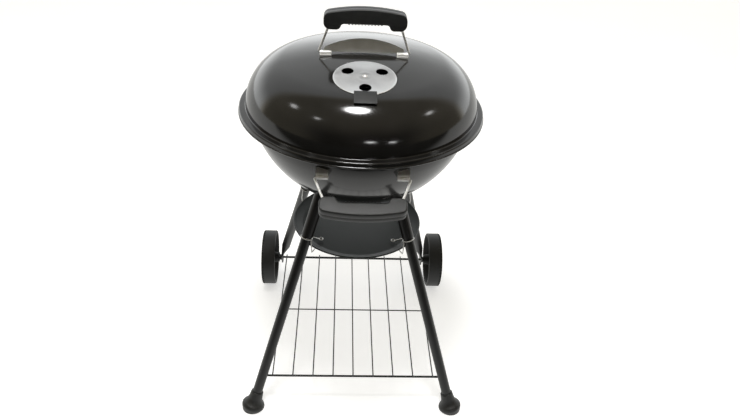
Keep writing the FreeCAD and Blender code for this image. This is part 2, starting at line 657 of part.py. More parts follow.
def make_grip(name, frame, wire):
    """The plastic grip, with finger ribs underneath, moulded round the wire."""
    half = "(grip_length / 2)"
    low = "(grip_rise - grip_depth)"
    boss = "(grip_rise - grip_depth - grip_boss)"
    corner = "grip_corner"
    # the top is one long arc that rolls over into the grip's ends
    crown = "((grip_length^2 / 4 + grip_crown^2) / (2 * grip_crown))"
    crown_z = f"(grip_rise - {crown})"
    corner_z = f"({crown_z} + sqrt(({crown} - {corner})^2 - ({half} - {corner})^2))"
    share = f"({crown} / ({crown} - {corner}))"
    shoulder = f"(({half} - {corner}) * {share})"
    shoulder_z = f"({crown_z} + ({corner_z} - {crown_z}) * {share})"
    # each end flows into the finger gap through two arcs that meet at a slope
    swing = "(grip_boss / (1 - cos(boss_slope)))"
    outer, inner = f"({swing} * 0.6)", f"({swing} * 0.4)"
    bend = f"({half} - grip_boss_width)"
    slope_x = f"({bend} - {outer} * sin(boss_slope))"
    slope_z = f"({boss} + {outer} * (1 - cos(boss_slope)))"
    gap = f"({bend} - {swing} * sin(boss_slope))"
    body = new_body(name + "_body", KETTLE * frame)
    sketch = new_sketch(body, "XZ_Plane", name + "_front")
    outline(sketch, [(shoulder, shoulder_z, crown, 1),
                     (f"-{shoulder}", shoulder_z, corner, 1),
                     (f"-{half}", corner_z),
                     (f"-{half}", f"{boss} + {corner}", corner, 1),
                     (f"-({half} - {corner})", boss),
                     (f"-{bend}", boss, outer, 1),
                     (f"-{slope_x}", slope_z, inner, -1),
                     (f"-{gap}", low),
                     (gap, low, inner, -1),
                     (slope_x, slope_z, outer, 1),
                     (bend, boss),
                     (f"{half} - {corner}", boss, corner, 1),
                     (half, f"{boss} + {corner}"),
                     (half, corner_z, corner, 1)])
    padded = pad(body, sketch, "grip_thickness")
    rounding = body.newObject("PartDesign::Fillet", name + "_rounding")
    side_edges = []
    for number, edge in enumerate(padded.Shape.Edges, start=1):
        spread = edge.BoundBox
        if spread.YLength < NOTHING:
            side_edges.append(f"Edge{number}")
    rounding.Base = (padded, side_edges)
    bind(rounding, "Radius", "min(grip_round; grip_boss * 0.6)")
    doc.recompute()
    ribs = new_sketch(body, "XZ_Plane", name + "_ribs")
    side_ribs = (int(amount("rib_count")) - 1) // 2
    rib_places = [f"rib_pitch * {step}" if step else "0" for step in range(-side_ribs, side_ribs + 1)]
    circles(ribs, [(place, f"{low} + rib_sink", "rib_radius") for place in rib_places])
    pad(body, ribs, "grip_thickness * 0.5")
    return keep(name, cut(name + "_cut", body, wire))


def make_bracket(name, frame, side, wall):
    """A sleeve round the wire's end on a foot that follows the sheet under it."""
    start, end = f"{side} * bracket_inner", f"{side} * (bracket_inner + bracket_length)"
    outward = Rotation(Vector(0, 0, 1), Vector(side, 0, 0))
    place = KETTLE * frame * Placement(vector((start, "0", "0")), outward)
    sleeve = primitive("Cylinder", name + "_sleeve", place, Radius="handle_wire / 2 + bracket_wall",
                       Height="bracket_length")
    depth = "foot_stock"
    low_x = start if side > 0 else end
    corner = KETTLE * frame * Placement(vector((low_x, "-bracket_foot / 2", f"-({depth})")), Rotation())
    foot = primitive("Box", name + "_foot", corner, Length="bracket_length", Width="bracket_foot",
                     Height=f"{depth} - handle_wire / 2 + weld_sink")
    solid = fuse(name + "_solid", [sleeve, foot])
    trimmed = cut(name + "_trimmed", solid, wall)
    bore = primitive("Cylinder", name + "_bore", place, Radius="handle_wire / 2 + wire_gap",
                     Height="bracket_length")
    return keep(name, cut(name + "_bored", trimmed, bore))


def make_handle(prefix, frame, wall):
    """A whole handle."""
    wire = make_handle_wire(prefix + "_handle_wire", frame)
    make_grip(prefix + "_handle_grip", frame, wire)
    for side in (-1, 1):
        make_bracket(f"{prefix}_bracket_{mirror_name(side)}", frame, side, wall)


def make_heat_shield():
    """A leaning plate behind the lid's brackets that keeps the vent's heat off the hand."""
    lean = Placement(vector(("0", "handle_wire / 2 + bracket_wall + shield_sheet * 0.4",
                             "shield_rise")),
                     Rotation(Vector(1, 0, 0), -amount("shield_lean")))
    body = new_body("heat_shield_body", KETTLE * lid_handle_frame() * lean)
    sketch = new_sketch(body, "XZ_Plane", "shield_outline")
    half = "(shield_width / 2)"
    rise = "(shield_height - shield_ends)"
    bow = f"(({half}^2 + {rise}^2) / (2 * {rise}))"
    outline(sketch, [(f"-{half}", "0"), (half, "0"), (half, "shield_ends", bow, 1),
                     (f"-{half}", "shield_ends")])
    pad(body, sketch, "shield_sheet")
    return keep("lid_heat_shield", body)


# ---------------------------------------------------------------------------------------------------
# Grates and the tabs that hold the upper one

def make_grate(name, height, radius, ring, wire, pitch):
    """A welded grate: a ring with parallel rods on top of it and two cross rods below."""
    pieces = [primitive("Torus", name + "_ring", at(("0", "0", height)), Radius1=f"{radius} - {ring}",
                        Radius2=ring)]
    lift = f"({height} + {ring} + {wire} - weld_sink)"
    reach = amount(f"{radius} - {ring}")
    count = int((reach - amount(wire)) / amount(pitch) - 0.5)
    for index in range(-count - 1, count + 1):
        y = f"{pitch} * {index + 0.5}"
        half = f"(sqrt(({radius} - {ring})^2 - ({y})^2) + {ring} * 0.4)"
        pieces.append(rod(f"{name}_rod_{index + count + 2}", (f"-{half}", y, lift), (half, y, lift), wire))
    drop = f"({lift} - 2 * {wire} + weld_sink)"
    for side in (-1, 1):
        x = f"{side} * {radius} * cross_share"
        half = f"(sqrt(({radius} - {ring})^2 - ({x})^2) - {ring} * 0.2)"
        pieces.append(rod(f"{name}_cross_{mirror_name(side)}", (x, f"-{half}", drop), (x, half, drop), wire))
    return keep(name, fuse(name + "_weld", pieces))


def make_grates():
    """The cooking grate on its tabs, and the charcoal grate in the curve of the bowl."""
    cook_height = "(rim_height - cook_drop)"
    make_grate("cooking_grate", cook_height, "(bowl_radius - sheet_wall - cook_margin)", "cook_ring",
               "cook_rod", "cook_pitch")
    coal_height = (f"({BOWL_CENTRE} - sqrt(({BOWL_CROWN} - sheet_wall - coal_ring - seat_gap)^2 - "
                   f"(coal_radius - coal_ring)^2))")
    make_grate("charcoal_grate", coal_height, "coal_radius", "coal_ring", "coal_rod", "coal_pitch")
    low = "(rim_height - cook_drop - cook_ring - seat_gap - tab_sheet)"
    outer = f"({BOWL_RUN} + sqrt((bowl_shoulder - sheet_wall)^2 - (rim_height - {low})^2))"
    tabs = []
    for number, turn in enumerate(TAB_TURNS, start=1):
        place = at(("0", "0", low), Rotation(Vector(0, 0, 1), turn - amount("tab_arc") / 2))
        disc = primitive("Cylinder", f"grate_tab_disc_{number}", place, Radius=outer, Height="tab_sheet",
                         Angle="tab_arc")
        hole = primitive("Cylinder", f"grate_tab_hole_{number}", place, Radius=f"{outer} - tab_depth",
                         Height="tab_sheet", Angle="tab_arc")
        tabs.append(cut(f"grate_tab_{number}", disc, hole))
    keep("grate_tabs", fuse("grate_tabs_group", tabs))


# ---------------------------------------------------------------------------------------------------
# Legs, feet and sockets

def leg_line(side, row):
    """Formulas for where a leg meets the bowl, and for its end at the floor or at the axle."""
    if row == "front":
        top = (f"{side} * leg_ring * cos(front_leg_turn)", "-leg_ring * sin(front_leg_turn)", LEG_TOP)
        return top, (f"{side} * foot_side", "-foot_forward", "0")
    top = (f"{side} * leg_ring * cos(rear_leg_turn)", "leg_ring * sin(rear_leg_turn)", LEG_TOP)
    return top, (f"{side} * leg_end_side", "axle_back", "wheel_radius")


def on_line(line, height):
    """The point of a leg's middle line at a height."""
    top, end = line
    share = f"((({height}) - ({end[2]})) / ({top[2]} - ({end[2]})))"
    across = [f"(({end[axis]}) + {share} * (({top[axis]}) - ({end[axis]})))" for axis in (0, 1)]
    return (*across, height)


def make_socket(name, line, bowl_solid):
    """Upper leg: a tube welded to the underside of the bowl."""
    top, low = on_line(line, f"{LEG_TOP} + leg_stock"), on_line(line, "socket_end")
    outer = rod(name + "_outer", low, top, "leg_tube / 2 + fit_gap + socket_wall")
    inner = rod(name + "_inner", low, top, "leg_tube / 2 + fit_gap")
    keep(name, cut(name + "_trimmed", cut(name + "_tube", outer, inner), bowl_solid))


def leg_tube(name, low, high):
    """A plain tube for a lower leg."""
    outer = rod(name + "_outer", low, high, "leg_tube / 2")
    inner = rod(name + "_inner", low, high, "leg_tube / 2 - leg_wall")
    return cut(name + "_tube", outer, inner)


def make_front_leg(name, line, side):
    """Lower front leg, with a hole for the shelf's bar, and the plastic foot on its end."""
    top, end = line
    low, high = on_line(line, "foot_floor + 1"), on_line(line, "socket_end + leg_insert")
    tube = leg_tube(name, low, high)
    middle = on_line(line, BAR_HEIGHT)
    inward = (f"({middle[0]}) - {side} * (leg_tube)", "-shelf_front", BAR_HEIGHT)
    hole = rod(name + "_hole", inward, (middle[0], "-shelf_front", BAR_HEIGHT), "shelf_bar + fit_gap")
    leg = keep(name, cut(name + "_drilled", tube, hole))

    way = vector(top) - vector(end)
    frame = KETTLE * Placement(vector(end), Rotation(Vector(0, 0, 1), way))
    foot_name = "foot_" + mirror_name(side)
    body = new_body(foot_name + "_body", frame)
    sketch = new_sketch(body, "XZ_Plane", foot_name + "_section")
    bore = "(leg_tube / 2 + fit_gap)"
    outline(sketch, [("0", "-foot_sole"), ("foot_radius * 0.75", "-foot_sole"),
                     ("foot_radius", "foot_belly", "foot_belly * 2.75", 1),
                     ("foot_radius * 0.86", "foot_neck / 2", "foot_radius * 0.9", -1),
                     ("foot_collar * 1.1", "foot_neck"),
                     ("foot_collar", "foot_height - 2", "2.5", 1),
                     ("foot_collar - 2", "foot_height"), (bore, "foot_height"),
                     (bore, "foot_floor"), ("0", "foot_floor")])
    revolve(body, sketch)
    block = at((f"{end[0]} - floor_stock", f"{end[1]} - floor_stock", "-floor_stock"))
    floor = primitive("Box", foot_name + "_floor", block, Length="2 * floor_stock",
                      Width="2 * floor_stock", Height="floor_stock")
    keep(foot_name, cut(foot_name + "_flat", cut(foot_name + "_seated", body, tube), floor))
    return leg


def make_rear_leg(name, line, side):
    """Lower rear leg: a tube whose end is pressed flat and drilled for the axle."""
    top, end = line
    crush = on_line(line, "crush_top")
    tube = leg_tube(name, crush, on_line(line, "socket_end + leg_insert"))
    slope = vector(top) - vector(end)
    flat_y = on_line(line, "crush_end")[1]
    turn = Rotation(Vector(0, slope.z, -slope.y), Vector(1, 0, 0), Vector(0, slope.y, slope.z), "ZXY")
    circle = primitive("Circle", name + "_round", at(crush, nearest_turn(slope, turn)),
                       Radius="leg_tube / 2")
    middle = (f"{side} * flat_side", flat_y, "crush_end")
    oval = primitive("Ellipse", name + "_oval", at(middle, turn), MajorRadius="flat_width / 2",
                     MinorRadius="flat_thickness / 2")
    loft = doc.addObject("Part::Loft", name + "_crush")
    loft.Sections = [circle, oval]
    loft.Solid = True
    reach = f"sqrt((crush_end - wheel_radius)^2 + ({flat_y} - axle_back)^2)"
    plate_place = at((f"{side} * flat_side", "axle_back", "wheel_radius"), turn) * Placement(
        vector(("-flat_width / 2", "-flat_thickness / 2", "0")), Rotation())
    plate = primitive("Box", name + "_plate", plate_place, Length="flat_width", Width="flat_thickness",
                      Height=reach)
    across = Rotation(Vector(0, 1, 0), 90)
    disc = primitive("Cylinder", name + "_disc",
                     at((f"{side} * flat_side - flat_thickness / 2", "axle_back", "wheel_radius"), across),
                     Radius="flat_width / 2", Height="flat_thickness")
    solid = fuse(name + "_solid", [tube, loft, plate, disc])
    bore = primitive("Cylinder", name + "_bore",
                     at((f"{side} * flat_side - drill_reach", "axle_back", "wheel_radius"), across),
                     Radius="axle_radius + turning_gap", Height="2 * drill_reach")
    return keep(name, cut(name + "_drilled", solid, bore))


def nearest_turn(way, like):
    """A turn whose Z follows a direction and whose X stays as close as it can to another turn's X."""
    return Rotation(like.multVec(Vector(1, 0, 0)), Vector(), way, "ZXY")


def make_legs(bowl_solid):
    """Four legs, each in two tubes, with a spring clip under each joint."""
    for side in (-1, 1):
        for row, make_lower in (("front", make_front_leg), ("rear", make_rear_leg)):
            line = leg_line(side, row)
            word = f"{row}_{mirror_name(side)}"
            make_socket("upper_leg_" + word, line, bowl_solid)
            make_lower("lower_leg_" + word, line, side)
            make_clip("ash_clip_" + word, line, side)


# ---------------------------------------------------------------------------------------------------
# Ash plate and its spring clips

def leg_reach(row):
    """Formula for how far a leg's middle line is from the kettle's axis at the ash plate."""
    point = on_line(leg_line(1, row), "plate_height")
    return f"sqrt({point[0]}^2 + {point[1]}^2)"


def plate_radius():
    """The ash plate fits between the legs."""
    return f"(min({leg_reach('front')}; {leg_reach('rear')}) - leg_tube / 2 * leg_spread - plate_gap)"


def make_ash_plate():
    """A shallow dish with a rolled edge."""
    radius = plate_radius()
    edge_x = f"({radius} - plate_bead)"
    flat = f"({radius} - plate_slope)"
    body = new_body("ash_plate_body")
    sketch = new_sketch(body, "XZ_Plane", "plate_section")
    low = "(plate_height - plate_dish)"
    half = "(plate_sheet / 2)"
    outline(sketch, [("0", low), (flat, low),
                     (f"{edge_x} + {half}", f"plate_height - sqrt(plate_bead^2 - {half}^2)", "plate_bead", 1),
                     (edge_x, "plate_height + plate_bead", "plate_bead", 1),
                     (f"{edge_x} - {half}", f"plate_height - sqrt(plate_bead^2 - {half}^2)"),
                     (f"{flat} - {half}", f"{low} + plate_sheet"), ("0", f"{low} + plate_sheet")])
    revolve(body, sketch)
    return keep("ash_plate", body)


def make_clip(name, line, side):
    """A spring-wire clip: a ring round the leg, an arm with an eye over the plate and an arm under it."""
    wire = "clip_wire / 2"
    centre = on_line(line, "socket_end - clip_drop")
    place = vector(centre)
    inward = Vector(-place.x, -place.y, 0).normalize()
    tangent = Vector(inward.y, -inward.x, 0) * side
    slope = vector(line[0]) - vector(line[1])

    def from_leg(inwards, sideways, height):
        """A point measured inwards and sideways from the leg, as formulas."""
        return (f"({centre[0]} + ({inwards}) * {inward.x} + ({sideways}) * {tangent.x})",
                f"({centre[1]} + ({inwards}) * {inward.y} + ({sideways}) * {tangent.y})", height)

    ring_radius = "(leg_tube / 2 + clip_wire / 2 + fit_gap)"
    ring = primitive("Torus", name + "_ring", at(centre, Rotation(Vector(0, 0, 1), slope)),
                     Radius1=ring_radius, Radius2=wire)
    eye_height = "(plate_height - plate_dish + plate_sheet + clip_wire / 2 + clip_rise)"
    over = [from_leg("clip_root", ring_radius, "socket_end - clip_drop"),
            from_leg("clip_arm - clip_eye", "clip_eye", eye_height)]
    eye = primitive("Torus", name + "_eye", at(from_leg("clip_arm", "0", eye_height)), Radius1="clip_eye",
                    Radius2=wire)
    under_height = "(plate_height - plate_dish - clip_wire / 2 - clip_gap)"
    swing = f"-{ring_radius} - clip_swing"
    under = [from_leg("clip_root", f"-{ring_radius}", "socket_end - clip_drop"),
             from_leg("0", swing, "plate_height - plate_bead * 0.6"),
             from_leg("clip_root / 2", swing, under_height),
             from_leg("clip_arm * 0.65", "-clip_hook", under_height)]
    pieces = [ring, eye]
    for word, points in (("over", over), ("under", under)):
        for number, (start, end) in enumerate(zip(points, points[1:]), start=1):
            pieces.append(rod(f"{name}_{word}_{number}", start, end, wire))
            pieces.append(primitive("Sphere", f"{name}_{word}_end_{number}", at(end), Radius=wire))
    return keep(name, fuse(name + "_wire", pieces))


# ---------------------------------------------------------------------------------------------------
# Shelf, axle and wheels

WIRE_HEIGHT = "(wheel_radius + axle_radius + shelf_rod)"
BAR_HEIGHT = f"({WIRE_HEIGHT} - shelf_rod - shelf_bar)"


def make_shelf():
    """An open shelf: a front bar between the legs, a middle bar, and wires that end over the axle."""
    inset = on_line(leg_line(1, "front"), BAR_HEIGHT)[0]
    bar = rod("front_bar", (f"-{inset} + leg_tube / 4", "-shelf_front", BAR_HEIGHT),
              (f"{inset} - leg_tube / 4", "-shelf_front", BAR_HEIGHT), "shelf_bar")
    keep("shelf_front_bar", bar)
    outer = "(shelf_pitch * (shelf_wires - 1) / 2)"
    low = f"({WIRE_HEIGHT} - 2 * shelf_rod)"
    keep("shelf_middle_bar", rod("middle_bar", (f"-{outer} - shelf_tail", "shelf_middle", low),
                                 (f"{outer} + shelf_tail", "shelf_middle", low), "shelf_rod"))
    wires = []
    for index in range(int(amount("shelf_wires"))):
        x = f"({index} * shelf_pitch - {outer})"
        wires.append(rod(f"shelf_wire_{index + 1}", (x, "-shelf_front - shelf_tail", WIRE_HEIGHT),
                         (x, "axle_back + shelf_tail", WIRE_HEIGHT), "shelf_rod"))
    keep("shelf_wires", fuse("shelf_wires_group", wires))


def make_axle():
    """The axle from wheel to wheel, its push-on caps, and the spacers beside the legs."""
    end = "(wheel_side + hub_outer + cap_height * 0.6)"
    keep("axle", rod("axle_rod", (f"-{end}", "axle_back", "wheel_radius"), (end, "axle_back", "wheel_radius"),
                     "axle_radius"))
    spacers = []
    for side in (-1, 1):
        word = mirror_name(side)
        outward = Rotation(Vector(0, 0, 1), Vector(side, 0, 0))
        cap_x = f"{side} * (wheel_side + hub_outer + seat_gap)"
        cap_place = at((cap_x, "axle_back", "wheel_radius"), outward)
        body = new_body(f"axle_cap_{word}_body", cap_place)
        sketch = new_sketch(body, "XZ_Plane", f"axle_cap_{word}_section")
        depth = "(cap_height * 0.6 - seat_gap)"
        outline(sketch, [("axle_radius", "0"), ("cap_radius", "0"), ("cap_radius", "cap_height * 0.3",
                         "(cap_radius^2 + (cap_height * 0.7)^2) / (2 * cap_height * 0.7)", 1),
                         ("middle_flat", "cap_height"), ("0", "cap_height"), ("0", depth),
                         ("axle_radius", depth)])
        revolve(body, sketch)
        keep(f"axle_cap_{word}", body)
        inner = f"{side} * (flat_side + flat_thickness / 2 + 2 * fit_gap)"
        outer = f"{side} * (wheel_side - hub_inner - seat_gap)"
        sleeve = rod(f"spacer_{word}", (inner, "axle_back", "wheel_radius"),
                     (outer, "axle_back", "wheel_radius"), "washer_radius")
        hole = rod(f"spacer_hole_{word}", (inner, "axle_back", "wheel_radius"),
                   (outer, "axle_back", "wheel_radius"), "axle_radius + fit_gap")
        spacers.append(cut(f"spacer_ring_{word}", sleeve, hole))
    keep("axle_spacers", fuse("axle_spacers_group", spacers))


def make_wheel(side):
    """A moulded wheel: tread ring, web with ribs, hub, and notches round the outer edge of its tread."""
    name = "wheel_" + mirror_name(side)
    turn = Rotation() if side > 0 else Rotation(Vector(0, 0, 1), 180)
    body = new_body(name + "_body", at((f"{side} * wheel_side", "axle_back", "wheel_radius"), turn))
    half = "(wheel_width / 2)"
    web = "(web_wall / 2)"
    bore = "(axle_radius + turning_gap)"
    shoulder = "(wheel_radius - tread_edge)"
    ring = "(wheel_radius - tread_wall)"
    sketch = new_sketch(body, "XZ_Plane", name + "_section")
    outline(sketch, [(f"-{half}", ring), (f"-{half}", shoulder, "tread_round", -1),
                     (f"-{half} + tread_edge", "wheel_radius"),
                     (f"{half} - tread_edge", "wheel_radius", "tread_round", -1), (half, shoulder),
                     (half, ring),
                     (f"{half} - 3", f"{ring} - 1"), (web, f"{ring} - 3"), (web, "hub_radius + 2"),
                     ("hub_outer", "hub_radius"), ("hub_outer", bore), ("-hub_inner", bore),
                     ("-hub_inner", "hub_radius - 2"), (f"-{web}", "hub_radius + 1"),
                     (f"-{web}", f"{ring} - 3"), (f"-{half} + 3", f"{ring} - 1")])
    revolve(body, sketch, "H_Axis")
    spoke = new_sketch(body, "XZ_Plane", name + "_spoke")
    outline(spoke, [("0", "hub_radius - 2"), ("hub_outer - 1", "hub_radius - 2"),
                    (f"{half} - 5", f"{ring} + 0.5"), ("0", f"{ring} + 0.5")])
    around(body, pad(body, spoke, "spoke_wall"), sketch, "H_Axis", "wheel_spokes")
    top = Placement(Vector(0, 0, amount("wheel_radius")), Rotation())
    notch = new_sketch(body, "XY_Plane", name + "_notch", top)
    outline(notch, [(f"{half} - lug_length", "-lug_gap / 2"), (f"{half} + 1", "-lug_gap / 2"),
                    (f"{half} + 1", "lug_gap / 2"), (f"{half} - lug_length", "lug_gap / 2")])
    around(body, pocket(body, notch, "lug_depth"), sketch, "H_Axis", "lug_count")
    return keep(name, body)


# ---------------------------------------------------------------------------------------------------
# Build, check and write

def make_all():
    """Every sub-part of the grill."""
    bowl_solid = envelope("bowl_envelope", bowl_curve("0"), LID_BASE)
    lid_solid = envelope("lid_envelope", lid_curve("0"), "rim_height")
    make_bowl()
    make_lid()
    make_lid_damper()
    make_bowl_damper()
    make_handle("lid", lid_handle_frame(), lid_solid)
    make_heat_shield()
    make_handle("bowl", bowl_handle_frame(), bowl_solid)
    make_grates()
    make_legs(bowl_solid)
    make_ash_plate()
    make_shelf()
    make_axle()
    for side in (-1, 1):
        make_wheel(side)
    doc.recompute()


def check_and_write():
    """Stop on any failed object or bad solid, then write one file for each sub-part."""
    for thing in doc.Objects:
        if "Invalid" in thing.State or "Error" in thing.State:
            raise RuntimeError(f"{thing.Label} failed: {thing.State}")
    for name, thing in sub_parts.items():
        if thing.Shape.isNull() or not thing.Shape.isValid() or not thing.Shape.Solids:
            raise RuntimeError(name + " has no sound solid")
    os.makedirs("parts", exist_ok=True)
    for name, thing in sub_parts.items():
        thing.Shape.exportStep(f"parts/{name}.step")
        size = thing.Shape.BoundBox
        print(f"{name}: {len(thing.Shape.Solids)} solid(s), {thing.Shape.Volume / 1000:.1f} cm3, "
              f"z {size.ZMin:.1f} to {size.ZMax:.1f}")


make_all()
check_and_write()
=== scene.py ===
# %% [markdown]
# # A kettle charcoal grill
# This lesson dresses a finished engineering model: every node of the grill already has its true size and place, and
# the cells below add the camera, the studio, the finishes, and finer meshes where the eye rests.
# Nothing is measured by hand. Each piece is laid out from the box of the node it belongs to, in metres, so it fits
# and moves with the body it is named for.
# %% Load the grill
import math

import bmesh
import bpy
from mathutils import Matrix, Vector


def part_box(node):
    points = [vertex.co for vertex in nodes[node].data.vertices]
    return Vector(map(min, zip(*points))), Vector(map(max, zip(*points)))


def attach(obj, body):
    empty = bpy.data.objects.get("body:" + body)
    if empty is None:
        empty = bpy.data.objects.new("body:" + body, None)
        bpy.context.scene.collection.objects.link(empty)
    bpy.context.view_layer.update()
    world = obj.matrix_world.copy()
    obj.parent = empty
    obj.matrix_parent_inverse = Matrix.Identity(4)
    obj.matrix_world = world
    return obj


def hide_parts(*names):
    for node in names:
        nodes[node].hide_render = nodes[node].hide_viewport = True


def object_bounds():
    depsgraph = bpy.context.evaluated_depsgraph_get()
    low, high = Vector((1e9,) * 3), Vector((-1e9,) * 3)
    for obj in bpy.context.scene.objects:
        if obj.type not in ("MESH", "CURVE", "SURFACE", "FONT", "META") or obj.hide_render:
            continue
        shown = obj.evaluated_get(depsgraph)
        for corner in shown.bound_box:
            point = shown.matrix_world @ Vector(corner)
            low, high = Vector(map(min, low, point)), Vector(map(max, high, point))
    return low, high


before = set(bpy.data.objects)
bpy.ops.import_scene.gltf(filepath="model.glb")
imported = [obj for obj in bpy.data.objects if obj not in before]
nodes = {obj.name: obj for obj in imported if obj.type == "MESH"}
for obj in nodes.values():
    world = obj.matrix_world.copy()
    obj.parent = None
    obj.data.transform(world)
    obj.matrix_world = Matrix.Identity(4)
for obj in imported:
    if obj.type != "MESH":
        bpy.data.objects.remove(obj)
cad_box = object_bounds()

MM = 0.001

# %% [markdown]
# ## Where the kettle stands
# A kettle grill is a set of round pieces on one upright axis. The bowl's own box tells where that axis is, and every
# height that the later cells need comes from the boxes of the bowl and the lid. Curves are kept in millimetres,
# because that is how a press tool is drawn.
# %% The kettle's axis and curves
bowl_low, bowl_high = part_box("bowl_shell")
lid_low, lid_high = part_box("lid_shell")
KETTLE = Vector((0, (bowl_low.y + bowl_high.y) / 2, 0))
SHEET = 1.2                                          # thickness of the steel of bowl and lid

BOWL_TURN, BOWL_SIDE = 108, 110                      # the side curve's centre off the axis, and its radius
BOWL_RADIUS, BOWL_DEPTH = BOWL_TURN + BOWL_SIDE, 186
BEAD, BEAD_CENTRE, BEAD_LIFT = 4, 220, 8.5           # the rolled bead: radius, off the axis, over the rim line
RIM_MM = bowl_high.z / MM - BEAD_LIFT - BEAD         # the rim line, where the bowl's side curve ends upright
BOWL_CROWN = (BOWL_DEPTH ** 2 + BOWL_TURN ** 2 - BOWL_SIDE ** 2) / (2 * (BOWL_DEPTH - BOWL_SIDE))
BOWL_CENTRE = RIM_MM - BOWL_DEPTH + BOWL_CROWN

FLANGE, SKIRT_DROP, SKIRT_BEAD = 13, 10.2, 2.1       # the lid's flat edge, and its skirt with a rolled bead
LID_WALL = (lid_high.x - lid_low.x) / 2 / MM - FLANGE
LID_BASE = lid_low.z / MM + SKIRT_DROP + SKIRT_BEAD  # top of the flange
CROWN, SHOULDER = 750, 92.5                          # radii of the lid's nearly flat top and of its shoulder
CROWN_CENTRE = LID_BASE - math.sqrt((CROWN - SHOULDER) ** 2 - (LID_WALL - SHOULDER) ** 2)
VENT_FORWARD = 106                                   # axis to the middle of the lid's damper
print("axis at y", round(KETTLE.y, 4), "rim line", round(RIM_MM, 2), "lid wall", round(LID_WALL, 2))

# %% [markdown]
# ## The camera
# The camera is made before anything else, because every later choice is judged through it. It stands in front of
# the grill a little to the left, at chest height, and looks down at about 34 degrees. A turn built from three plain
# rotations (pan, tilt, roll) is easier to read and to change than a table of angles.
# %% Camera
lens = bpy.data.cameras.new("studio_camera")
lens.sensor_width = 36
lens.lens = 31.89
lens.clip_end = 60
camera = bpy.data.objects.new("studio_camera", lens)
bpy.context.scene.collection.objects.link(camera)
stand = KETTLE + Vector((-0.04382, -1.20612, 1.24531))
pan, tilt, roll = math.radians(3.43), math.radians(34.3), math.radians(3.18)
camera.matrix_world = (Matrix.Translation(stand)
                       @ Matrix.Rotation(-pan, 4, "Z")
                       @ Matrix.Rotation(math.pi / 2 - tilt, 4, "X")
                       @ Matrix.Rotation(roll, 4, "Z"))
bpy.context.scene.camera = camera
bpy.context.scene.view_settings.view_transform = "Standard"
print("camera at", [round(v, 3) for v in camera.matrix_world.translation])

# %% [markdown]
# ## Writing shaders as sums
# A material is a small machine of nodes. Wiring one by hand hides what it works out, so two little classes turn it
# into arithmetic. `Wire`, the first, stands for one output and knows plus, minus, times and divide, also when a
# plain number comes first, so `1 - mask` works.
# %% Wires
class Wire:
    """One output of a finish's nodes, used like a number."""

    def __init__(self, finish, socket):
        self.finish, self.socket = finish, socket

    def work_out(self, operation, other, turned=False):
        first, second = (other, self) if turned else (self, other)
        return self.finish.node("Math", {"operation": operation}, {0: first, 1: second})

    def __add__(self, other):
        return self.work_out("ADD", other)

    def __sub__(self, other):
        return self.work_out("SUBTRACT", other)

    def __rsub__(self, other):
        return self.work_out("SUBTRACT", other, turned=True)

    def __mul__(self, other):
        return self.work_out("MULTIPLY", other)

    def __truediv__(self, other):
        return self.work_out("DIVIDE", other)

    __radd__ = __add__
    __rmul__ = __mul__


print("wires ready")

# %% [markdown]
# ## A material under construction
# `Finish`, the second class, is a material being made. Its method `node` makes any node, sets its settings first,
# and then plugs values or wires into its sockets. The other methods are short names for what nearly every finish
# needs: a noise, a number or a colour between two others, the shader's own sockets, and bumps.
# %% Finishes
class Finish:
    """A material under construction, with one shader whose fixed sockets are set straight away."""

    def __init__(self, name, **fixed):
        self.material = bpy.data.materials.new(name)
        self.material.use_nodes = True
        self.tree = self.material.node_tree
        self.shader = self.tree.nodes["Principled BSDF"]
        for socket, value in fixed.items():
            self.shader.inputs[socket.replace("_", " ")].default_value = value
        self.place = self.node("TexCoord", output="Object")

    def node(self, kind, settings=None, sockets=None, output=0):
        """Make a node: its settings first, then what goes into its sockets."""
        made = self.tree.nodes.new("ShaderNode" + kind)
        for setting, value in (settings or {}).items():
            if setting == "stops":
                for number, (spot, colour) in enumerate(value):
                    stop = made.color_ramp.elements[number] if number < 2 else made.color_ramp.elements.new(spot)
                    stop.position, stop.color = spot, (*colour, 1)
            else:
                setattr(made, setting, value)
        for socket, value in (sockets or {}).items():
            self.plug(made.inputs[socket], value)
        return Wire(self, made.outputs[output])

    def plug(self, socket, value):
        """Link a wire into a socket, or set a plain value."""
        if isinstance(value, Wire):
            self.tree.links.new(value.socket, socket)
        else:
            socket.default_value = value

    def noise(self, scale, detail=2.0, stretch=None, roughness=0.5):
        """Cloudy noise from 0 to 1; scale counts lumps per metre, stretch pulls them out along an axis."""
        place = self.place
        if stretch:
            place = self.node("Mapping", {}, {"Vector": self.place, "Scale": stretch})
        return self.node("TexNoise", {}, {"Vector": place, "Scale": scale, "Detail": detail, "Roughness": roughness})

    def shades(self, amount, dark, light, low=0.3, high=0.7):
        """A colour that runs from dark to light as the amount goes from low to high."""
        return self.node("ValToRGB", {"stops": [(low, dark), (high, light)]}, {"Fac": amount})

    def between(self, amount, low, high):
        """A number that runs from low to high as the amount goes from 0 to 1."""
        return amount * (high - low) + low

    def coat(self, **sockets):
        """Plug what varies over the surface into the shader."""
        for socket, value in sockets.items():
            self.plug(self.shader.inputs[socket.replace("_", " ")], value)
        return self

    def bumps(self, *layers):
        """Stack bump layers, each (height, depth in metres), and plug the last into the normal."""
        normal = None
        for height, depth in layers:
            sockets = {"Height": height, "Distance": depth, "Strength": 1.0}
            if normal:
                sockets["Normal"] = normal
            normal = self.node("Bump", {}, sockets)
        self.plug(self.shader.inputs["Normal"], normal)
        return self


finishes = {}
print("shader helpers ready")

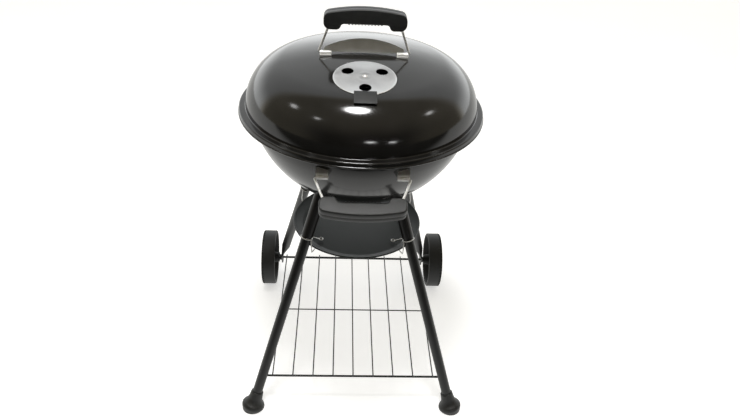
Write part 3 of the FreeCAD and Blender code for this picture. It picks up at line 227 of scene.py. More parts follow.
# %% [markdown]
# ## Porcelain enamel
# Bowl and lid are pressed from steel sheet, dipped in glass powder and fired. The glass is black, very smooth and
# about a third of a millimetre thick, so it mirrors the room, but never perfectly: it flows a little while it melts,
# and that slow waviness bends every reflection. A clear coat over paint would give a second, sharper mirror that
# enamel doesn't have, so one glossy shader is used, with two sizes of ripple in its normal and a faint haze in
# its roughness where hands have wiped it.
# %% Enamel
enamel = finishes["enamel"] = Finish("enamel", IOR=1.52)
haze = enamel.noise(7, detail=4)
pits = enamel.noise(900, detail=1)
enamel.coat(
    Base_Color=enamel.shades(enamel.noise(25, detail=3), (0.0075, 0.0072, 0.0066), (0.0115, 0.011, 0.0105)),
    Roughness=enamel.between(haze, 0.07, 0.16) + pits * 0.02)
enamel.bumps((enamel.noise(16, detail=1), 0.00035), (enamel.noise(260, detail=1), 0.000006))
print("enamel:", len(enamel.tree.nodes), "nodes")

# %% [markdown]
# ## Brushed aluminium
# The dampers are punched from soft aluminium that was brushed before it was cut. The brush leaves fine parallel
# scratches, so the noise is pulled out a hundredfold along one axis. The scratches go into both roughness and bump,
# because real ones widen the highlight and break it up at the same time.
# %% Brushed aluminium
brushed = finishes["brushed_aluminium"] = Finish("brushed_aluminium", Metallic=1.0, Anisotropic=0.4)
hairs = brushed.noise(1400, detail=3, stretch=(0.02, 1, 1))
stains = brushed.noise(30, detail=4)
brushed.coat(
    Base_Color=brushed.shades(stains, (0.68, 0.68, 0.68), (0.80, 0.80, 0.80)),
    Roughness=brushed.between(hairs, 0.22, 0.46))
brushed.bumps((hairs, 0.00004))
print("brushed aluminium ready")

# %% [markdown]
# ## Plated steel
# Handle wires, brackets, clips and caps are steel with a thin bright plating. Drawn wire keeps faint draw marks and
# the plating bath leaves it slightly milky, so the roughness drifts between bright and satin, and a fine grain keeps
# it from looking like liquid chrome.
# %% Bright steel and plated wire
for slot, tint, soft in (("bright_steel", 0.80, 0.40), ("plated_wire", 0.72, 0.38)):
    steel = finishes[slot] = Finish(slot, Metallic=0.62)
    milky = steel.noise(60, detail=4)
    grain = steel.noise(2200, detail=2)
    steel.coat(
        Base_Color=steel.shades(milky, (tint * 0.8, tint * 0.79, tint * 0.77), (tint * 1.1, tint * 1.1, tint * 1.08)),
        Roughness=steel.between(milky, soft - 0.08, soft + 0.1) + grain * 0.06)
    steel.bumps((grain, 0.00003), (milky, 0.00015))
print("plated steel ready")

# %% [markdown]
# ## Bare steel
# The two grates carry the fire and the food. Their wire is only oiled, so it is darker than plating, browned in
# patches, and rough. Two noises of different size are multiplied, because stains gather inside larger worn areas.
# %% Bare steel
bare = finishes["bare_steel"] = Finish("bare_steel", Metallic=0.9)
patches = bare.noise(22, detail=5)
stains = bare.noise(240, detail=4)
bare.coat(
    Base_Color=bare.shades(patches * stains * 2, (0.12, 0.105, 0.095), (0.42, 0.41, 0.395)),
    Roughness=bare.between(stains, 0.34, 0.6))
bare.bumps((stains, 0.00012), (bare.noise(1800), 0.00003))
print("bare steel ready")

# %% [markdown]
# ## Moulded plastic
# The grips, the damper's tab and the feet are glass-filled nylon. A mould is etched with a fine sand texture, which
# is what makes black plastic look grey where light grazes it. A cell pattern gives those rounded grains better than
# smooth noise does; the wheels get the same recipe, coarser and duller, with a chalky scuff.
# %% Black plastic and wheel plastic
for slot, shade, gloss, grains in (("black_plastic", 0.010, 0.40, 2600), ("wheel_plastic", 0.007, 0.52, 1700)):
    plastic = finishes[slot] = Finish(slot, IOR=1.5)
    etched = plastic.node("TexVoronoi", {}, {"Vector": plastic.place, "Scale": grains}, output="Distance")
    worn = plastic.noise(45, detail=5)
    dark, pale_grey = (tuple(shade * c for c in tint) for tint in ((0.8, 0.85, 0.86), (1.5, 1.6, 1.6)))
    plastic.coat(
        Base_Color=plastic.shades(worn, dark, pale_grey),
        Roughness=plastic.between(worn, gloss - 0.05, gloss + 0.1) + etched * 0.08)
    plastic.bumps((etched, 0.00007), (plastic.noise(120), 0.00012))
print("plastics ready")

# %% [markdown]
# ## Paint and powder
# The legs are powder coated: the powder melts into a satin skin with a faint orange peel, a few lumps per
# centimetre. The ash plate is painted thinner, so its skin is flatter and the sheet's own roll marks show through.
# Both come from one loop, because only the numbers differ.
# %% Powder coat and painted sheet
for slot, shade, gloss, peel in (("powder_coat", (0.006, 0.006, 0.0065), 0.34, 420),
                                 ("painted_sheet", (0.006, 0.0105, 0.0092), 0.46, 900)):
    paint = finishes[slot] = Finish(slot, IOR=1.5)
    drift = paint.noise(35, detail=3)
    skin = paint.noise(peel, detail=1)
    paint.coat(
        Base_Color=paint.shades(drift, tuple(c * 0.8 for c in shade), tuple(c * 1.3 for c in shade)),
        Roughness=paint.between(drift, gloss - 0.05, gloss + 0.08))
    paint.bumps((skin, 0.00012), (paint.noise(1500), 0.00002))
print("paints ready")

# %% [markdown]
# ## Satin steel
# The heat shield is plain rolled sheet that stays unplated. The rolls leave soft streaks along its length, so the
# noise is pulled out along X, and the surface throws back a wide, pale gloss in place of a mirror image.
# %% Satin steel
satin = finishes["satin_steel"] = Finish("satin_steel", Metallic=0.5)
streaks = satin.noise(700, detail=3, stretch=(0.04, 1, 1))
cloud = satin.noise(40, detail=3)
satin.coat(
    Base_Color=satin.shades(cloud, (0.44, 0.45, 0.46), (0.54, 0.55, 0.56)),
    Roughness=satin.between(streaks, 0.28, 0.5))
satin.bumps((streaks, 0.00003), (cloud, 0.0002))
print("satin steel ready")

# %% [markdown]
# ## Dress the nodes
# Every node already carries a plain material named after its slot. Swapping that for the finish of the same name
# dresses the whole grill at once, also the pieces that later cells don't remodel.
# %% Give every node its finish
for node in nodes.values():
    for number, material in enumerate(node.data.materials):
        node.data.materials[number] = finishes[material.name].material
print("dressed", len(nodes), "nodes in", len(finishes), "finishes")

# %% [markdown]
# ## A pale studio
# A catalogue studio is lit so brightly that its floor burns out to white. The floor here is one wide matt sheet.
# Besides catching the lamps it glows a little, which keeps it pale under the grill without washing the shadows away
# completely. The grill stands on it.
# A real studio also hangs black cloth in front of shiny black things, or they would mirror the whole white floor.
# Here a Light Path node does that: the camera sees the pale floor, and reflections see one that fades to dark
# towards the front.
# %% Floor
FLOOR_GAP = 0.4 * MM
DARK_FROM, PALE_FROM = -1.25, -0.30                  # metres along Y between which the mirrored floor turns pale


def floor_sheet(size):
    """A flat square sheet of floor, just under everything that stands on it."""
    mesh = bpy.data.meshes.new("studio_floor")
    half = size / 2
    mesh.from_pydata([(-half, -half, 0), (half, -half, 0), (half, half, 0), (-half, half, 0)], [], [(0, 1, 2, 3)])
    floor = bpy.data.objects.new("studio_floor", mesh)
    floor.location.z = cad_box[0][2] - FLOOR_GAP
    bpy.context.scene.collection.objects.link(floor)
    return floor


pale = Finish("pale_floor", Emission_Strength=0.52, Emission_Color=(1, 1, 1, 1))
pale.coat(
    Base_Color=pale.shades(pale.noise(3, detail=2), (0.80, 0.80, 0.795), (0.84, 0.84, 0.835)),
    Roughness=0.75)
distance = pale.node("SeparateXYZ", {}, {"Vector": pale.place}, output=1)
near = pale.node("MapRange", {"interpolation_type": "SMOOTHSTEP"},
                 {"Value": distance, "From Min": DARK_FROM, "From Max": PALE_FROM})
mirrored = pale.tree.nodes.new("ShaderNodeBsdfPrincipled")
mirrored.inputs["Base Color"].default_value = (0, 0, 0, 1)
mirrored.inputs["Specular IOR Level"].default_value = 0
mirrored.inputs["Emission Strength"].default_value = 0.95
pale.plug(mirrored.inputs["Emission Color"], pale.shades(near, (0.05, 0.05, 0.044), (1, 1, 0.97), 0.0, 1.0))
seen = pale.node("LightPath", output="Is Camera Ray")
both = pale.node("MixShader", {},
                 {0: seen, 1: Wire(pale, mirrored.outputs[0]), 2: Wire(pale, pale.shader.outputs[0])})
pale.plug(pale.tree.nodes["Material Output"].inputs["Surface"], both)
floor = floor_sheet(40)
floor.data.materials.append(pale.material)
print("floor at z", round(floor.location.z, 5))

# %% [markdown]
# ## What the enamel sees
# Black enamel has almost no colour of its own: what we see on it is the room. So the room is painted as carefully
# as the grill. Behind the grill stands a bright white backdrop, strongest near the floor. The camera's half of the
# room is almost dark and a little warm, with a dim ceiling and dim side walls. The world's direction is split into
# its parts, and smooth steps along them blend one zone into the next.
# %% World
world = bpy.data.worlds.new("studio_room")
world.use_nodes = True
bpy.context.scene.world = world


class Room(Finish):
    """The same wiring method, for the world's own tree."""

    def __init__(self, world):
        self.tree = world.node_tree
        self.shader = self.tree.nodes["Background"]
        self.place = self.node("TexCoord", output="Generated")

    def step(self, amount, low, high):
        """A smooth step from 0 to 1 between two values."""
        return self.node("MapRange", {"interpolation_type": "SMOOTHSTEP"},
                         {"Value": amount, "From Min": low, "From Max": high, "To Min": 0.0, "To Max": 1.0})


room = Room(world)
parts = room.node("SeparateXYZ", {}, {"Vector": room.place})
across, back, up = (Wire(room, parts.socket.node.outputs[n]) for n in range(3))
behind = room.step(back, 0.22, 0.46)
low_glow = 1 - room.step(up, 0.05, 0.42)
side_glow = room.step(across * across, 0.3, 0.9)
ceiling = room.step(up, 0.25, 0.8)
brightness = (behind * (0.95 + low_glow * 1.25) + (1 - behind) * (0.025 + side_glow * 0.30 + ceiling * 0.30))
warmth = room.node("Mix", {"data_type": "RGBA"},
                   {0: behind, 6: (1.0, 0.89, 0.66, 1), 7: (0.98, 1.0, 1.0, 1)}, output=2)
room.plug(room.shader.inputs["Color"], warmth)
room.plug(room.shader.inputs["Strength"], brightness)
print("world:", len(world.node_tree.nodes), "nodes")

# %% [markdown]
# ## Lamps
# One large softbox hangs overhead and a few small lamps stand round the grill; each shows as its own highlight on
# the lid. A helper places a lamp by the direction in which the lid sees it, so a highlight can be moved without
# thinking about mirrors. The lamp always faces the lid.
# %% Softbox and small lamps
LID_TOP = KETTLE + Vector((0, 0, 0.75))


def lamp(name, direction, distance, width, height, power):
    """An oval lamp in a direction from the lid, turned to face it."""
    light = bpy.data.lights.new(name, "AREA")
    light.shape = "ELLIPSE"
    light.size, light.size_y = width, height
    light.energy = power
    thing = bpy.data.objects.new(name, light)
    way = Vector(direction).normalized()
    thing.location = LID_TOP + way * distance
    thing.rotation_euler = way.to_track_quat("Z", "Y").to_euler()
    bpy.context.scene.collection.objects.link(thing)


lamp("softbox", (-0.055, -0.225, 0.976), 2.2, 0.64, 0.62, 40)
lamp("left_lamp", (-0.77, -0.05, 0.64), 2.6, 0.34, 0.26, 1.6)
lamp("right_lamp", (0.78, -0.12, 0.615), 2.6, 0.34, 0.20, 1.5)
lamp("corner_lamp", (-0.59, -0.47, 0.66), 2.6, 0.24, 0.18, 0.8)
lamp("front_lamp_left", (0.123, -0.979, 0.162), 3.0, 0.42, 0.10, 3)
lamp("front_lamp_right", (0.446, -0.887, 0.12), 3.0, 0.36, 0.08, 2)

# %% [markdown]
# ## From corners to a piece
# A mesh can be written down as a list of corners and a list of faces. One helper makes it from such lists and turns
# all its faces outwards. Another puts it in the scene: it gives the piece its finish, shades it smooth but keeps
# true edges sharp, hangs it on the body it rides on and hides the nodes it stands for.
# %% Mesh and object helpers
SHARP = math.radians(35)                             # edges that turn more than this stay sharp


def new_piece(name, mesh, slot, body, stands_for):
    """Put a mesh in the scene as a smooth piece with its finish, on its body."""
    mesh.name = name
    piece = bpy.data.objects.new(name, mesh)
    bpy.context.scene.collection.objects.link(piece)
    mesh.materials.clear()
    mesh.materials.append(finishes[slot].material)
    mesh.polygons.foreach_set("use_smooth", [True] * len(mesh.polygons))
    mesh.set_sharp_from_angle(angle=SHARP)
    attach(piece, body)
    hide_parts(*stands_for)
    return piece


def mesh_of(points, faces):
    """A mesh with outward normals from corners in millimetres."""
    mesh = bpy.data.meshes.new("made")
    mesh.from_pydata([Vector(p) * MM for p in points], [], faces)
    work = bmesh.new()
    work.from_mesh(mesh)
    bmesh.ops.recalc_face_normals(work, faces=work.faces)
    work.to_mesh(mesh)
    work.free()
    return mesh


def placed(mesh, place):
    """Move a mesh's own corners, so that its object can stay at the origin."""
    mesh.transform(place)
    return mesh


def joined(meshes):
    """Several meshes as one."""
    work = bmesh.new()
    for mesh in meshes:
        work.from_mesh(mesh)
        bpy.data.meshes.remove(mesh)
    whole = bpy.data.meshes.new("joined")
    work.to_mesh(whole)
    work.free()
    return whole


print("mesh helpers ready")

# %% [markdown]
# ## A lathe
# Most of a kettle is turned, so it is made on a lathe that takes an outline of radius and height and spins it.
# The outline is closed, inside and outside in one loop, so every sheet has real thickness. A Screw modifier could
# spin it too, but writing the rings directly keeps each quad square and the poles clean.
# %% Lathe
def turned(outline, turns=160):
    """Spin a closed outline of (radius, height) about Z; points on the axis become poles."""
    points, rings = [], []
    for radius, height in outline:
        if radius < 1e-6:
            rings.append([len(points)] * turns)
            points.append((0, 0, height))
            continue
        rings.append(list(range(len(points), len(points) + turns)))
        for step in range(turns):
            angle = 2 * math.pi * step / turns
            points.append((radius * math.cos(angle), radius * math.sin(angle), height))
    faces = []
    for ring, after in zip(rings, rings[1:] + rings[:1]):
        for step in range(turns):
            corners = [ring[step], ring[(step + 1) % turns], after[(step + 1) % turns], after[step]]
            corners = [c for n, c in enumerate(corners) if c not in corners[:n]]
            if len(corners) > 2:
                faces.append(corners)
    return mesh_of(points, faces)


def arc(across, height, radius, start, end, steps):
    """Points of an arc about a centre, from one angle to another in degrees."""
    angles = [math.radians(start + (end - start) * n / steps) for n in range(steps + 1)]
    return [(across + radius * math.cos(a), height + radius * math.sin(a)) for a in angles]


print("lathe ready")

# %% [markdown]
# ## Punching vents
# Three round vents and a rivet hole are punched through both sheets. A boolean with plain drums does exactly what
# the press does. It is applied at once, so the finished mesh carries no modifier.
# %% Vent places and punch
VENT_PITCH, VENT_HOLE, RIVET_HOLE, DRUM = 36, 11, 2.5, 16   # pitch radius, hole radii, half a drum's length
VENTS = [(VENT_PITCH * math.cos(math.radians(a)), VENT_PITCH * math.sin(math.radians(a)), VENT_HOLE)
         for a in (30, 150, 270)]


def punched(mesh, place, holes):
    """Punch round holes (x, y, radius in mm) through a mesh, square to the place's own Z."""
    drums = joined([placed(turned([(0, -DRUM), (r, -DRUM), (r, DRUM), (0, DRUM)], 48),
                           place @ Matrix.Translation((x * MM, y * MM, 0))) for x, y, r in holes])
    sheet, tool = bpy.data.objects.new("sheet", mesh), bpy.data.objects.new("tool", drums)
    for thing in (sheet, tool):
        bpy.context.scene.collection.objects.link(thing)
    cutter = sheet.modifiers.new("punch", "BOOLEAN")
    cutter.operation, cutter.solver, cutter.object = "DIFFERENCE", "EXACT", tool
    bpy.context.view_layer.update()
    result = bpy.data.meshes.new_from_object(sheet.evaluated_get(bpy.context.evaluated_depsgraph_get()))
    for thing in (sheet, tool):
        bpy.data.objects.remove(thing)
    return result


def upright(height=0.0):
    """A place on the kettle's axis."""
    return Matrix.Translation(KETTLE + Vector((0, 0, height)))


LEAN = math.asin(VENT_FORWARD / CROWN)
vent_place = upright(CROWN_CENTRE * MM) @ Matrix.Rotation(LEAN, 4, "X") @ Matrix.Translation((0, 0, CROWN * MM))
low_vent_place = upright(bowl_low.z) @ Matrix.Rotation(math.pi, 4, "X")
print("lid vent at", [round(v, 4) for v in vent_place.translation])

# %% [markdown]
# ## The lid
# The lid is one drawn sheet: a nearly flat crown, a tight round shoulder, a flat flange, and a short skirt whose
# edge is rolled so that it can't cut. The two big curves meet where their tangents agree, which is why the change
# from crown to shoulder shows only as a change in the reflections. The small hollow where wall meets flange is a
# press radius; without it the two reflections would meet in a hard line no press can make.
# %% Lid
def lid_side(inset):
    """Half of the lid's section, from the axis to the end of its shoulder."""
    join = math.degrees(math.atan2(LID_BASE - CROWN_CENTRE, LID_WALL - SHOULDER))
    crown = arc(0, CROWN_CENTRE, CROWN - inset, 90, join, 44)
    crown[0] = (0, crown[0][1])
    return crown + arc(LID_WALL - SHOULDER, LID_BASE, SHOULDER - inset, join, 1.5, 30)[1:]


HOLLOW, TURN = 2, 3                                  # press radii: wall into flange, flange into skirt
rim = LID_WALL + FLANGE
edge = (arc(LID_WALL + HOLLOW, LID_BASE + HOLLOW, HOLLOW, 180, 270, 5)
        + arc(rim - TURN, LID_BASE - TURN, TURN, 90, 0, 6)
        + arc(rim - SHEET / 2, LID_BASE - SKIRT_DROP, SKIRT_BEAD, 70, -250, 18)
        + arc(rim - TURN, LID_BASE - TURN, TURN - SHEET, 0, 90, 5)
        + arc(LID_WALL + HOLLOW, LID_BASE + HOLLOW, HOLLOW + SHEET, 270, 180, 5))
lid_mesh = placed(turned(lid_side(0) + edge + lid_side(SHEET)[::-1], 224), upright())
lid_mesh = punched(lid_mesh, vent_place, VENTS + [(0, 0, RIVET_HOLE)])
new_piece("lid_enamel", lid_mesh, "enamel", "lid", ("lid_shell",))
print("lid faces:", len(lid_mesh.polygons))

# %% [markdown]
# ## The bowl
# The bowl is deeper than the lid and rounder. Its rolled bead is a full little tube that stiffens the edge and
# carries the lid, so the outline runs up the wall, once round the bead and back down inside.
# %% Bowl
def bowl_side(inset):
    """Half of the bowl's section, from the axis up to its rim line."""
    join = math.degrees(math.atan2(RIM_MM - BOWL_CENTRE, BOWL_TURN))
    bottom = arc(0, BOWL_CENTRE, BOWL_CROWN - inset, -90, join, 40)
    bottom[0] = (0, bottom[0][1])
    return bottom + arc(BOWL_TURN, RIM_MM, BOWL_SIDE - inset, join, 0, 26)[1:]


bead = arc(BEAD_CENTRE, RIM_MM + BEAD_LIFT, BEAD, -120, 217, 26)
bowl_mesh = placed(turned(bowl_side(0) + bead + bowl_side(SHEET)[::-1], 224), upright())
bowl_mesh = punched(bowl_mesh, low_vent_place, VENTS + [(0, 0, RIVET_HOLE)])
new_piece("bowl_enamel", bowl_mesh, "enamel", "stand", ("bowl_shell",))
print("bowl faces:", len(bowl_mesh.polygons))

# %% [markdown]
# ## Dampers
# A damper is a thin disc, domed like the sheet under it, that turns on a rivet until its holes leave the vents. Its
# edge is rolled down a little so it doesn't catch a cloth, and a shallow ring is pressed round the rivet.
# %% Damper discs and rivets
def damper(name, place, dome, body, node):
    """A domed disc with three holes on its rivet."""
    def skin(lift, reach):
        ring_swell = 0.35 * math.exp(-((reach - 12) / 2.2) ** 2)
        return (reach, math.sqrt((dome + lift) ** 2 - reach ** 2) - dome + ring_swell)

    reach = [2.6] + [4 + n * 1.6 for n in range(33)]
    top = [skin(1.3, r) for r in reach] + [skin(1.18, 56.6), skin(0.95, 57.25), skin(0.7, 57.45)]
    under = [skin(0.42, 57.3)] + [skin(0.32, r) for r in reversed(reach)]
    mesh = punched(placed(turned(top + under, 144), place), place, VENTS)
    new_piece(name, mesh, "brushed_aluminium", body, (node,))


def rivet(name, place, body, node):
    """A round-headed rivet."""
    head = [(0, 4.0), (1.2, 3.95), (2.5, 3.6), (3.7, 2.95), (4.6, 2.1), (4.95, 1.6), (4.7, 1.48), (2.45, 1.48)]
    tail = [(2.45, -1.26), (3.8, -1.28), (4.0, -1.6), (3.6, -2.3), (0, -2.4)]
    new_piece(name, placed(turned(head + tail, 40), place), "bright_steel", body, (node,))


damper("lid_damper_disc", vent_place, CROWN, "lid_vent", "lid_damper")
rivet("lid_rivet", vent_place, "lid", "lid_damper_rivet")
rivet("bowl_rivet", low_vent_place, "stand", "bowl_damper_rivet")
print("dampers riveted")

# %% [markdown]
# ## The finger tab
# A cool plastic tab is clipped over the front of the lid's damper. It is thicker where it grips the disc and curls
# down to the enamel. A block is extruded from its side view and its edges are rounded with a Bevel modifier, which
# is how a moulded part gets the small radii that catch the light.
# %% Finger tab
def softened(mesh, width):
    """Round a mesh's edges with a bevel that is applied at once."""
    thing = bpy.data.objects.new("soften", mesh)
    bpy.context.scene.collection.objects.link(thing)
    bevel = thing.modifiers.new("soften", "BEVEL")
    bevel.width, bevel.segments = width * MM, 3
    bevel.limit_method, bevel.angle_limit = "ANGLE", math.radians(30)
    bpy.context.view_layer.update()
    result = bpy.data.meshes.new_from_object(thing.evaluated_get(bpy.context.evaluated_depsgraph_get()))
    bpy.data.objects.remove(thing)
    return result


def extruded(side_view, half_width):
    """A bar along X from a side view of (y, z) corners."""
    count = len(side_view)
    points = [(x, y, z) for x in (-half_width, half_width) for y, z in side_view]
    faces = [tuple(range(count)), tuple(range(count, 2 * count))]
    faces += [(n, (n + 1) % count, (n + 1) % count + count, n + count) for n in range(count)]
    return mesh_of(points, faces)


def over_lid(reach, gap):
    """Height over the lid's crown, measured from the middle of its vent."""
    return math.sqrt(CROWN ** 2 - reach ** 2) - CROWN + gap


TAB_THICK, TAB_TIP, TAB_HALF_WIDTH = 3.9, 1.0, 20    # heights over the enamel at the disc and at the front
outer = [(-n, over_lid(n, TAB_THICK - (TAB_THICK - TAB_TIP) * (max(0, n - 56) / 24) ** 1.5))
         for n in (50, 54, 57, 60, 64, 68, 72, 76, 80)]
inner = [(-n, over_lid(n, gap)) for n, gap in ((80, 0.6), (70, 0.65), (57.9, 0.65), (57.8, 1.42), (50, 1.42))]
tab = softened(extruded(outer + inner, TAB_HALF_WIDTH), 0.55)
new_piece("finger_tab", placed(tab, vent_place), "black_plastic", "lid_vent", ("lid_damper_tab",))
print("tab faces:", len(tab.polygons))

# %% [markdown]
# ## Bent wire
# Handles, clips and many other parts are bent from drawn wire. A curve object with a round bevel makes wire in one
# step, but its corners need a bend radius, so each corner is first replaced by a short arc that touches both
# straights. The curve is then turned into a mesh, with closed ends.
# %% Wire helper
def eased(corners, bend, steps=7):
    """The same path with every inner corner bent to a radius."""
    path = [Vector(corners[0])]
    for before, corner, after in zip(corners, corners[1:], corners[2:]):
        here = Vector(corner)
        back, on = (Vector(before) - here).normalized(), (Vector(after) - here).normalized()
        half = back.angle(on) / 2
        if half > 1.54:
            path.append(here)
            continue
        centre = here + (back + on).normalized() * bend / math.sin(half)
        start, end = here + back * bend / math.tan(half), here + on * bend / math.tan(half)
        for n in range(steps + 1):
            path.append(centre + (start - centre).slerp(end - centre, n / steps))
    return path + [Vector(corners[-1])]


def wire(path, radius, sides):
    """A round wire along a path in millimetres."""
    line = bpy.data.curves.new("wire", "CURVE")
    line.dimensions, line.use_fill_caps = "3D", True
    line.bevel_depth, line.bevel_resolution = radius * MM, sides
    spline = line.splines.new("POLY")
    spline.points.add(len(path) - 1)
    for point, spot in zip(spline.points, path):
        point.co = (*(Vector(spot) * MM), 1)
    thing = bpy.data.objects.new("wire", line)
    bpy.context.scene.collection.objects.link(thing)
    bpy.context.view_layer.update()
    mesh = bpy.data.meshes.new_from_object(thing.evaluated_get(bpy.context.evaluated_depsgraph_get()))
    bpy.data.objects.remove(thing)
    work = bmesh.new()
    work.from_mesh(mesh)
    bmesh.ops.remove_doubles(work, verts=work.verts, dist=1e-6)
    bmesh.ops.recalc_face_normals(work, faces=work.faces)
    work.to_mesh(mesh)
    work.free()
    return mesh


print("wire helper ready")

# %% [markdown]
# ## Handle frames
# Both handles are the same part. Each is described once, with its brackets on the X axis and its grip above, and
# then laid on the lid or hung on the bowl by a placement. The brackets' boxes give the place.
# %% Handle places
RISE = 87                                            # a grip's top over the brackets
HANDLE_DROP, DROOP = 32.7, 24                        # the bowl handle: below the rim line, and its slope
BRACKET_AT, BRACKET_REACH = 62, 9                    # a bracket's foot off the middle, and out from the bowl
HANDLE_FORWARD = (BOWL_TURN + math.sqrt(BOWL_SIDE ** 2 - HANDLE_DROP ** 2) + BRACKET_REACH
                  - (BOWL_RADIUS - math.sqrt(BOWL_RADIUS ** 2 - BRACKET_AT ** 2)))
WIRE, WIRE_BEND, WIRE_SPAN, BRACKET_INNER = 2.25, 4, 90, 63   # wire and bend radius, half widths
WIRE_TOP = (64.5, 0, RISE - 18.2)                    # where the wire ends inside the grip

brackets = [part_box("lid_bracket_" + word) for word in ("left", "right")]
bracket_y = (min(b[0].y for b in brackets) + max(b[1].y for b in brackets)) / 2
lid_handle = Matrix.Translation((0, bracket_y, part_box("lid_handle_wire")[0].z + WIRE * MM))
bowl_handle = (Matrix.Translation((0, KETTLE.y - HANDLE_FORWARD * MM, (RIM_MM - HANDLE_DROP) * MM))
               @ Matrix.Rotation(math.radians(90 + DROOP), 4, "X"))
for name, place, body in (("lid", lid_handle, "lid"), ("bowl", bowl_handle, "stand")):
    side = [(BRACKET_INNER, 0, 0), (WIRE_SPAN, 0, 0), WIRE_TOP]
    corners = side + [(-x, y, z) for x, y, z in side[::-1]]
    mesh = placed(wire(eased(corners, WIRE_BEND), WIRE, sides=7), place)
    new_piece(name + "_handle_bail", mesh, "bright_steel", body, (name + "_handle_wire",))
print("handles at", [round(v, 4) for v in lid_handle.translation], [round(v, 4) for v in bowl_handle.translation])

# %% [markdown]
# ## Moulded grips
# A grip looks simple but has four things that make it read as moulded: a crowned top, rounded edges, a finger hollow
# with softer edges than the rest, and a hairline where the two halves of the mould met. It starts as a front view:
# a closed outline in which every point also tells how round the edge is there.
# %% Grip outline
GRIP_HALF, GRIP_FALL, GRIP_DEPTH = 77, 9, 28         # half length, how far the crown falls, top to hollow
GRIP_THICK, CORNER = 13, 12.5                        # half thickness, and the radius of the ends' corners
BOSS, BEND_AT, SLOPE = 10, 53, 75                    # the ends' extra depth, where it starts, its angle
EDGE, HOLLOW_EDGE = 1.6, 5.0                         # edge radius, and the softer one of the hollow


def grip_outline():
    """The grip's front view as (x, z, edge radius), from the right shoulder round to the left and back."""
    crown = (GRIP_HALF ** 2 + GRIP_FALL ** 2) / (2 * GRIP_FALL)
    across = [GRIP_HALF * n / 24 for n in range(21)]
    top = [(x, RISE - crown + math.sqrt(crown ** 2 - x ** 2)) for x in across]
    low, boss = RISE - GRIP_DEPTH, RISE - GRIP_DEPTH - BOSS
    swing = BOSS / (1 - math.cos(math.radians(SLOPE)))
    wide, tight = swing * 0.6, swing * 0.4
    slope = [(BEND_AT - wide * math.sin(math.radians(a)), boss + wide * (1 - math.cos(math.radians(a))))
             for a in range(0, SLOPE + 1, 15)]
    hollow = [(BEND_AT - swing * math.sin(math.radians(SLOPE)) + tight * math.sin(math.radians(a)),
               low - tight * (1 - math.cos(math.radians(a)))) for a in range(60, -1, -15)]
    shoulder = [(top[-1][0] + 12.8 * math.sin(math.radians(a)),
                 top[-1][1] - CORNER * (1 - math.cos(math.radians(a)))) for a in (25, 45, 65, 90)]
    half = (top + shoulder + arc(GRIP_HALF - CORNER, boss + CORNER, CORNER, -5, -85, 8)
            + [(BEND_AT + 4, boss)] + slope + hollow + [(x, low) for x in (30, 24, 18, 12, 6, 0)])
    half = [(min(x, GRIP_HALF), z) for x, z in half]
    loop = half + [(-x, z) for x, z in half[-2:0:-1]]
    result = []
    for x, z in loop:
        under = max(0.0, min(1.0, (low + 6 - z) / 6)) * max(0.0, min(1.0, (52 - abs(x)) / 14))
        result.append((x, z, EDGE + (HOLLOW_EDGE - EDGE) * under))
    return result


print("grip outline:", len(grip_outline()), "points")

# %% [markdown]
# ## The grip's body and ribs
# Copies of the outline, each drawn in a little further, are stacked through the thickness, and the amount drawn in
# follows a quarter circle, larger in the finger hollow. The finger ribs are small wires laid round the hollow and
# sunk into it. The bowl's grip is rounder than the lid's and sits a millimetre lower on its wire.
# %% Grips
RIB, RIB_PITCH, RIB_SINK = 1.5, 6, 0.25


def grip_mesh(least_round):
    """The grip as a stack of outlines, with its ribs; every edge has at least the given radius."""
    loop = grip_outline()
    count = len(loop)
    inward = []
    for n, (x, z, soft) in enumerate(loop):
        way = Vector((loop[(n + 1) % count][0] - loop[n - 1][0], loop[(n + 1) % count][1] - loop[n - 1][1]))
        inward.append(Vector((way.y, -way.x)).normalized())
    angles = [math.radians(a) for a in (90, 75, 60, 45, 30, 15, 0)]
    stack = [(angle, -1) for angle in angles] + [(None, 0)] + [(angle, 1) for angle in angles[::-1]]
    points = []
    for angle, side in stack:
        for (x, z, soft), way in zip(loop, inward):
            soft = max(soft, least_round)
            if angle is None:
                drawn, depth = 0.22, 0.0
            else:
                drawn = soft * (1 - math.cos(angle))
                depth = side * (max(0.35, GRIP_THICK - soft) + soft * math.sin(angle) if angle else 0.4)
            points.append((x + way.x * drawn, depth, z + way.y * drawn))
    faces = [(r * count + n, r * count + (n + 1) % count, (r + 1) * count + (n + 1) % count, (r + 1) * count + n)
             for r in range(len(stack) - 1) for n in range(count)]
    faces += [tuple(range(count)), tuple(range((len(stack) - 1) * count, len(stack) * count))]
    bends = [(s, math.radians(a)) for s, turn in ((-1, (60, 45, 30, 15, 0)), (1, (0, 15, 30, 45, 60))) for a in turn]
    section = [(s * (GRIP_THICK - HOLLOW_EDGE + HOLLOW_EDGE * math.sin(a)),
                RISE - GRIP_DEPTH - RIB_SINK + HOLLOW_EDGE * (1 - math.cos(a))) for s, a in bends]
    ribs = [wire([(n * RIB_PITCH, y, z) for y, z in section], RIB, sides=3) for n in range(-5, 6)]
    return joined([mesh_of(points, faces)] + ribs)


for name, place, body, least, sunk in (("lid", lid_handle, "lid", EDGE, 0.1), ("bowl", bowl_handle, "stand", 3, 1.1)):
    grip = placed(grip_mesh(least), place @ Matrix.Translation((0, 0, -sunk * MM)))
    new_piece(name + "_grip", grip, "black_plastic", body, (name + "_handle_grip",))
print("grips moulded")

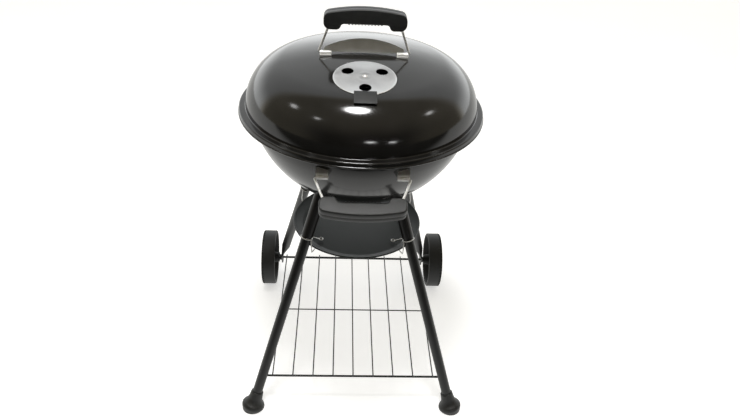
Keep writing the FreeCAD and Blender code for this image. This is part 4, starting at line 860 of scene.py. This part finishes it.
# %% [markdown]
# ## Heat shield
# A plate leans back behind the lid's brackets and keeps the hot air of the vent from the hand. It is plain satin
# sheet, bowed at the top. A grid of corners follows the bow, the plate curls back slightly towards its top edge,
# and each corner is paired with one on the other side of the sheet.
# %% Heat shield
SHIELD_HALF, SHIELD_BOW, SHIELD_SIDE, SHIELD_LEAN = 76, 19, 8, 30   # half width, bow, side edge, lean in degrees
ACROSS, UP = 48, 10

shield_place = (lid_handle @ Matrix.Translation((0, (4.45 + 0.4) * MM, 0.6 * MM))
                @ Matrix.Rotation(math.radians(-SHIELD_LEAN), 4, "X"))
bow = (SHIELD_HALF ** 2 + SHIELD_BOW ** 2) / (2 * SHIELD_BOW)
points, faces = [], []
for side in (-0.5, 0.5):
    for i in range(ACROSS + 1):
        x = -SHIELD_HALF + 2 * SHIELD_HALF * i / ACROSS
        tall = SHIELD_SIDE + math.sqrt(max(bow ** 2 - x ** 2, 0)) - (bow - SHIELD_BOW)
        for j in range(UP + 1):
            z = tall * j / UP
            points.append((x, side + 0.0022 * z * z, z * 0.985))
per = (ACROSS + 1) * (UP + 1)
for i in range(ACROSS):
    for j in range(UP):
        a = i * (UP + 1) + j
        faces += [(a, a + 1, a + UP + 2, a + UP + 1), (a + per, a + per + UP + 1, a + per + UP + 2, a + per + 1)]
border = ([i * (UP + 1) for i in range(ACROSS + 1)] + [ACROSS * (UP + 1) + j for j in range(1, UP + 1)]
          + [i * (UP + 1) + UP for i in range(ACROSS - 1, -1, -1)] + [j for j in range(UP - 1, 0, -1)])
faces += [(a, b, b + per, a + per) for a, b in zip(border, border[1:] + border[:1])]
shield = new_piece("heat_shield", placed(mesh_of(points, faces), shield_place), "satin_steel", "lid",
                   ("lid_heat_shield",))
print("shield top", round(max((shield.matrix_world @ v.co).z for v in shield.data.vertices), 4))

# %% [markdown]
# ## Ash plate
# The ash plate is a shallow pressed dish. Its flat middle is as plain as a pan; what catches the light is the slope
# all round it and the rolled edge, which also hides the cut of the sheet.
# %% Ash plate
plate_low, plate_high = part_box("ash_plate")
plate_radius = (plate_high.x - plate_low.x) / 2 / MM
plate_floor = plate_low.z / MM
PLATE_SLOPE, PLATE_SHEET, CURL, CURL_LIFT = 22, 0.8, 1.6, 9   # slope's width, sheet, edge roll and its height


def plate_skin(lift):
    """The dish's floor and slope as (radius, height)."""
    flat, level = plate_radius - PLATE_SLOPE, plate_floor + lift
    return [(flat * n / 40, level) for n in range(41)] + [(flat + 1.5, level + 0.3), (flat + 3.2, level + 1.1)]


curl = arc(plate_radius - CURL, plate_floor + CURL_LIFT, CURL, -100, 190, 16)
plate = placed(turned(plate_skin(0.02) + curl + plate_skin(PLATE_SHEET)[::-1]), upright())
new_piece("ash_dish", plate, "painted_sheet", "stand", ("ash_plate",))
print("ash plate radius", round(plate_radius, 2))

# %% [markdown]
# ## Axle caps
# Push-on caps close the axle's ends. They are stamped domes with a small flat rim, turned on the lathe.
# %% Axle caps
for word, sign in (("left", -1), ("right", 1)):
    low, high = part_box("axle_cap_" + word)
    inner_face = low.x if sign > 0 else high.x
    cap = [(0, 5.0), (2, 4.85), (4, 4.3), (5.8, 3.3), (7.2, 1.9), (7.9, 0.9), (8.0, 0.5), (7.8, 0.05), (3.05, 0.05),
           (3.05, 2.6), (0, 2.6)]
    place = (Matrix.Translation((inner_face, (low.y + high.y) / 2, (low.z + high.z) / 2))
             @ Matrix.Rotation(math.radians(90 * sign), 4, "Y"))
    new_piece("hub_cap_" + word, placed(turned(cap, 48), place), "bright_steel", "stand", ("axle_cap_" + word,))
print("caps pressed on")

# %% [markdown]
# The engineering model's box, read when the grill was loaded, is printed last.
# %% Print the engineering model's box
print("cad box", [[round(v, 4) for v in c] for c in cad_box])
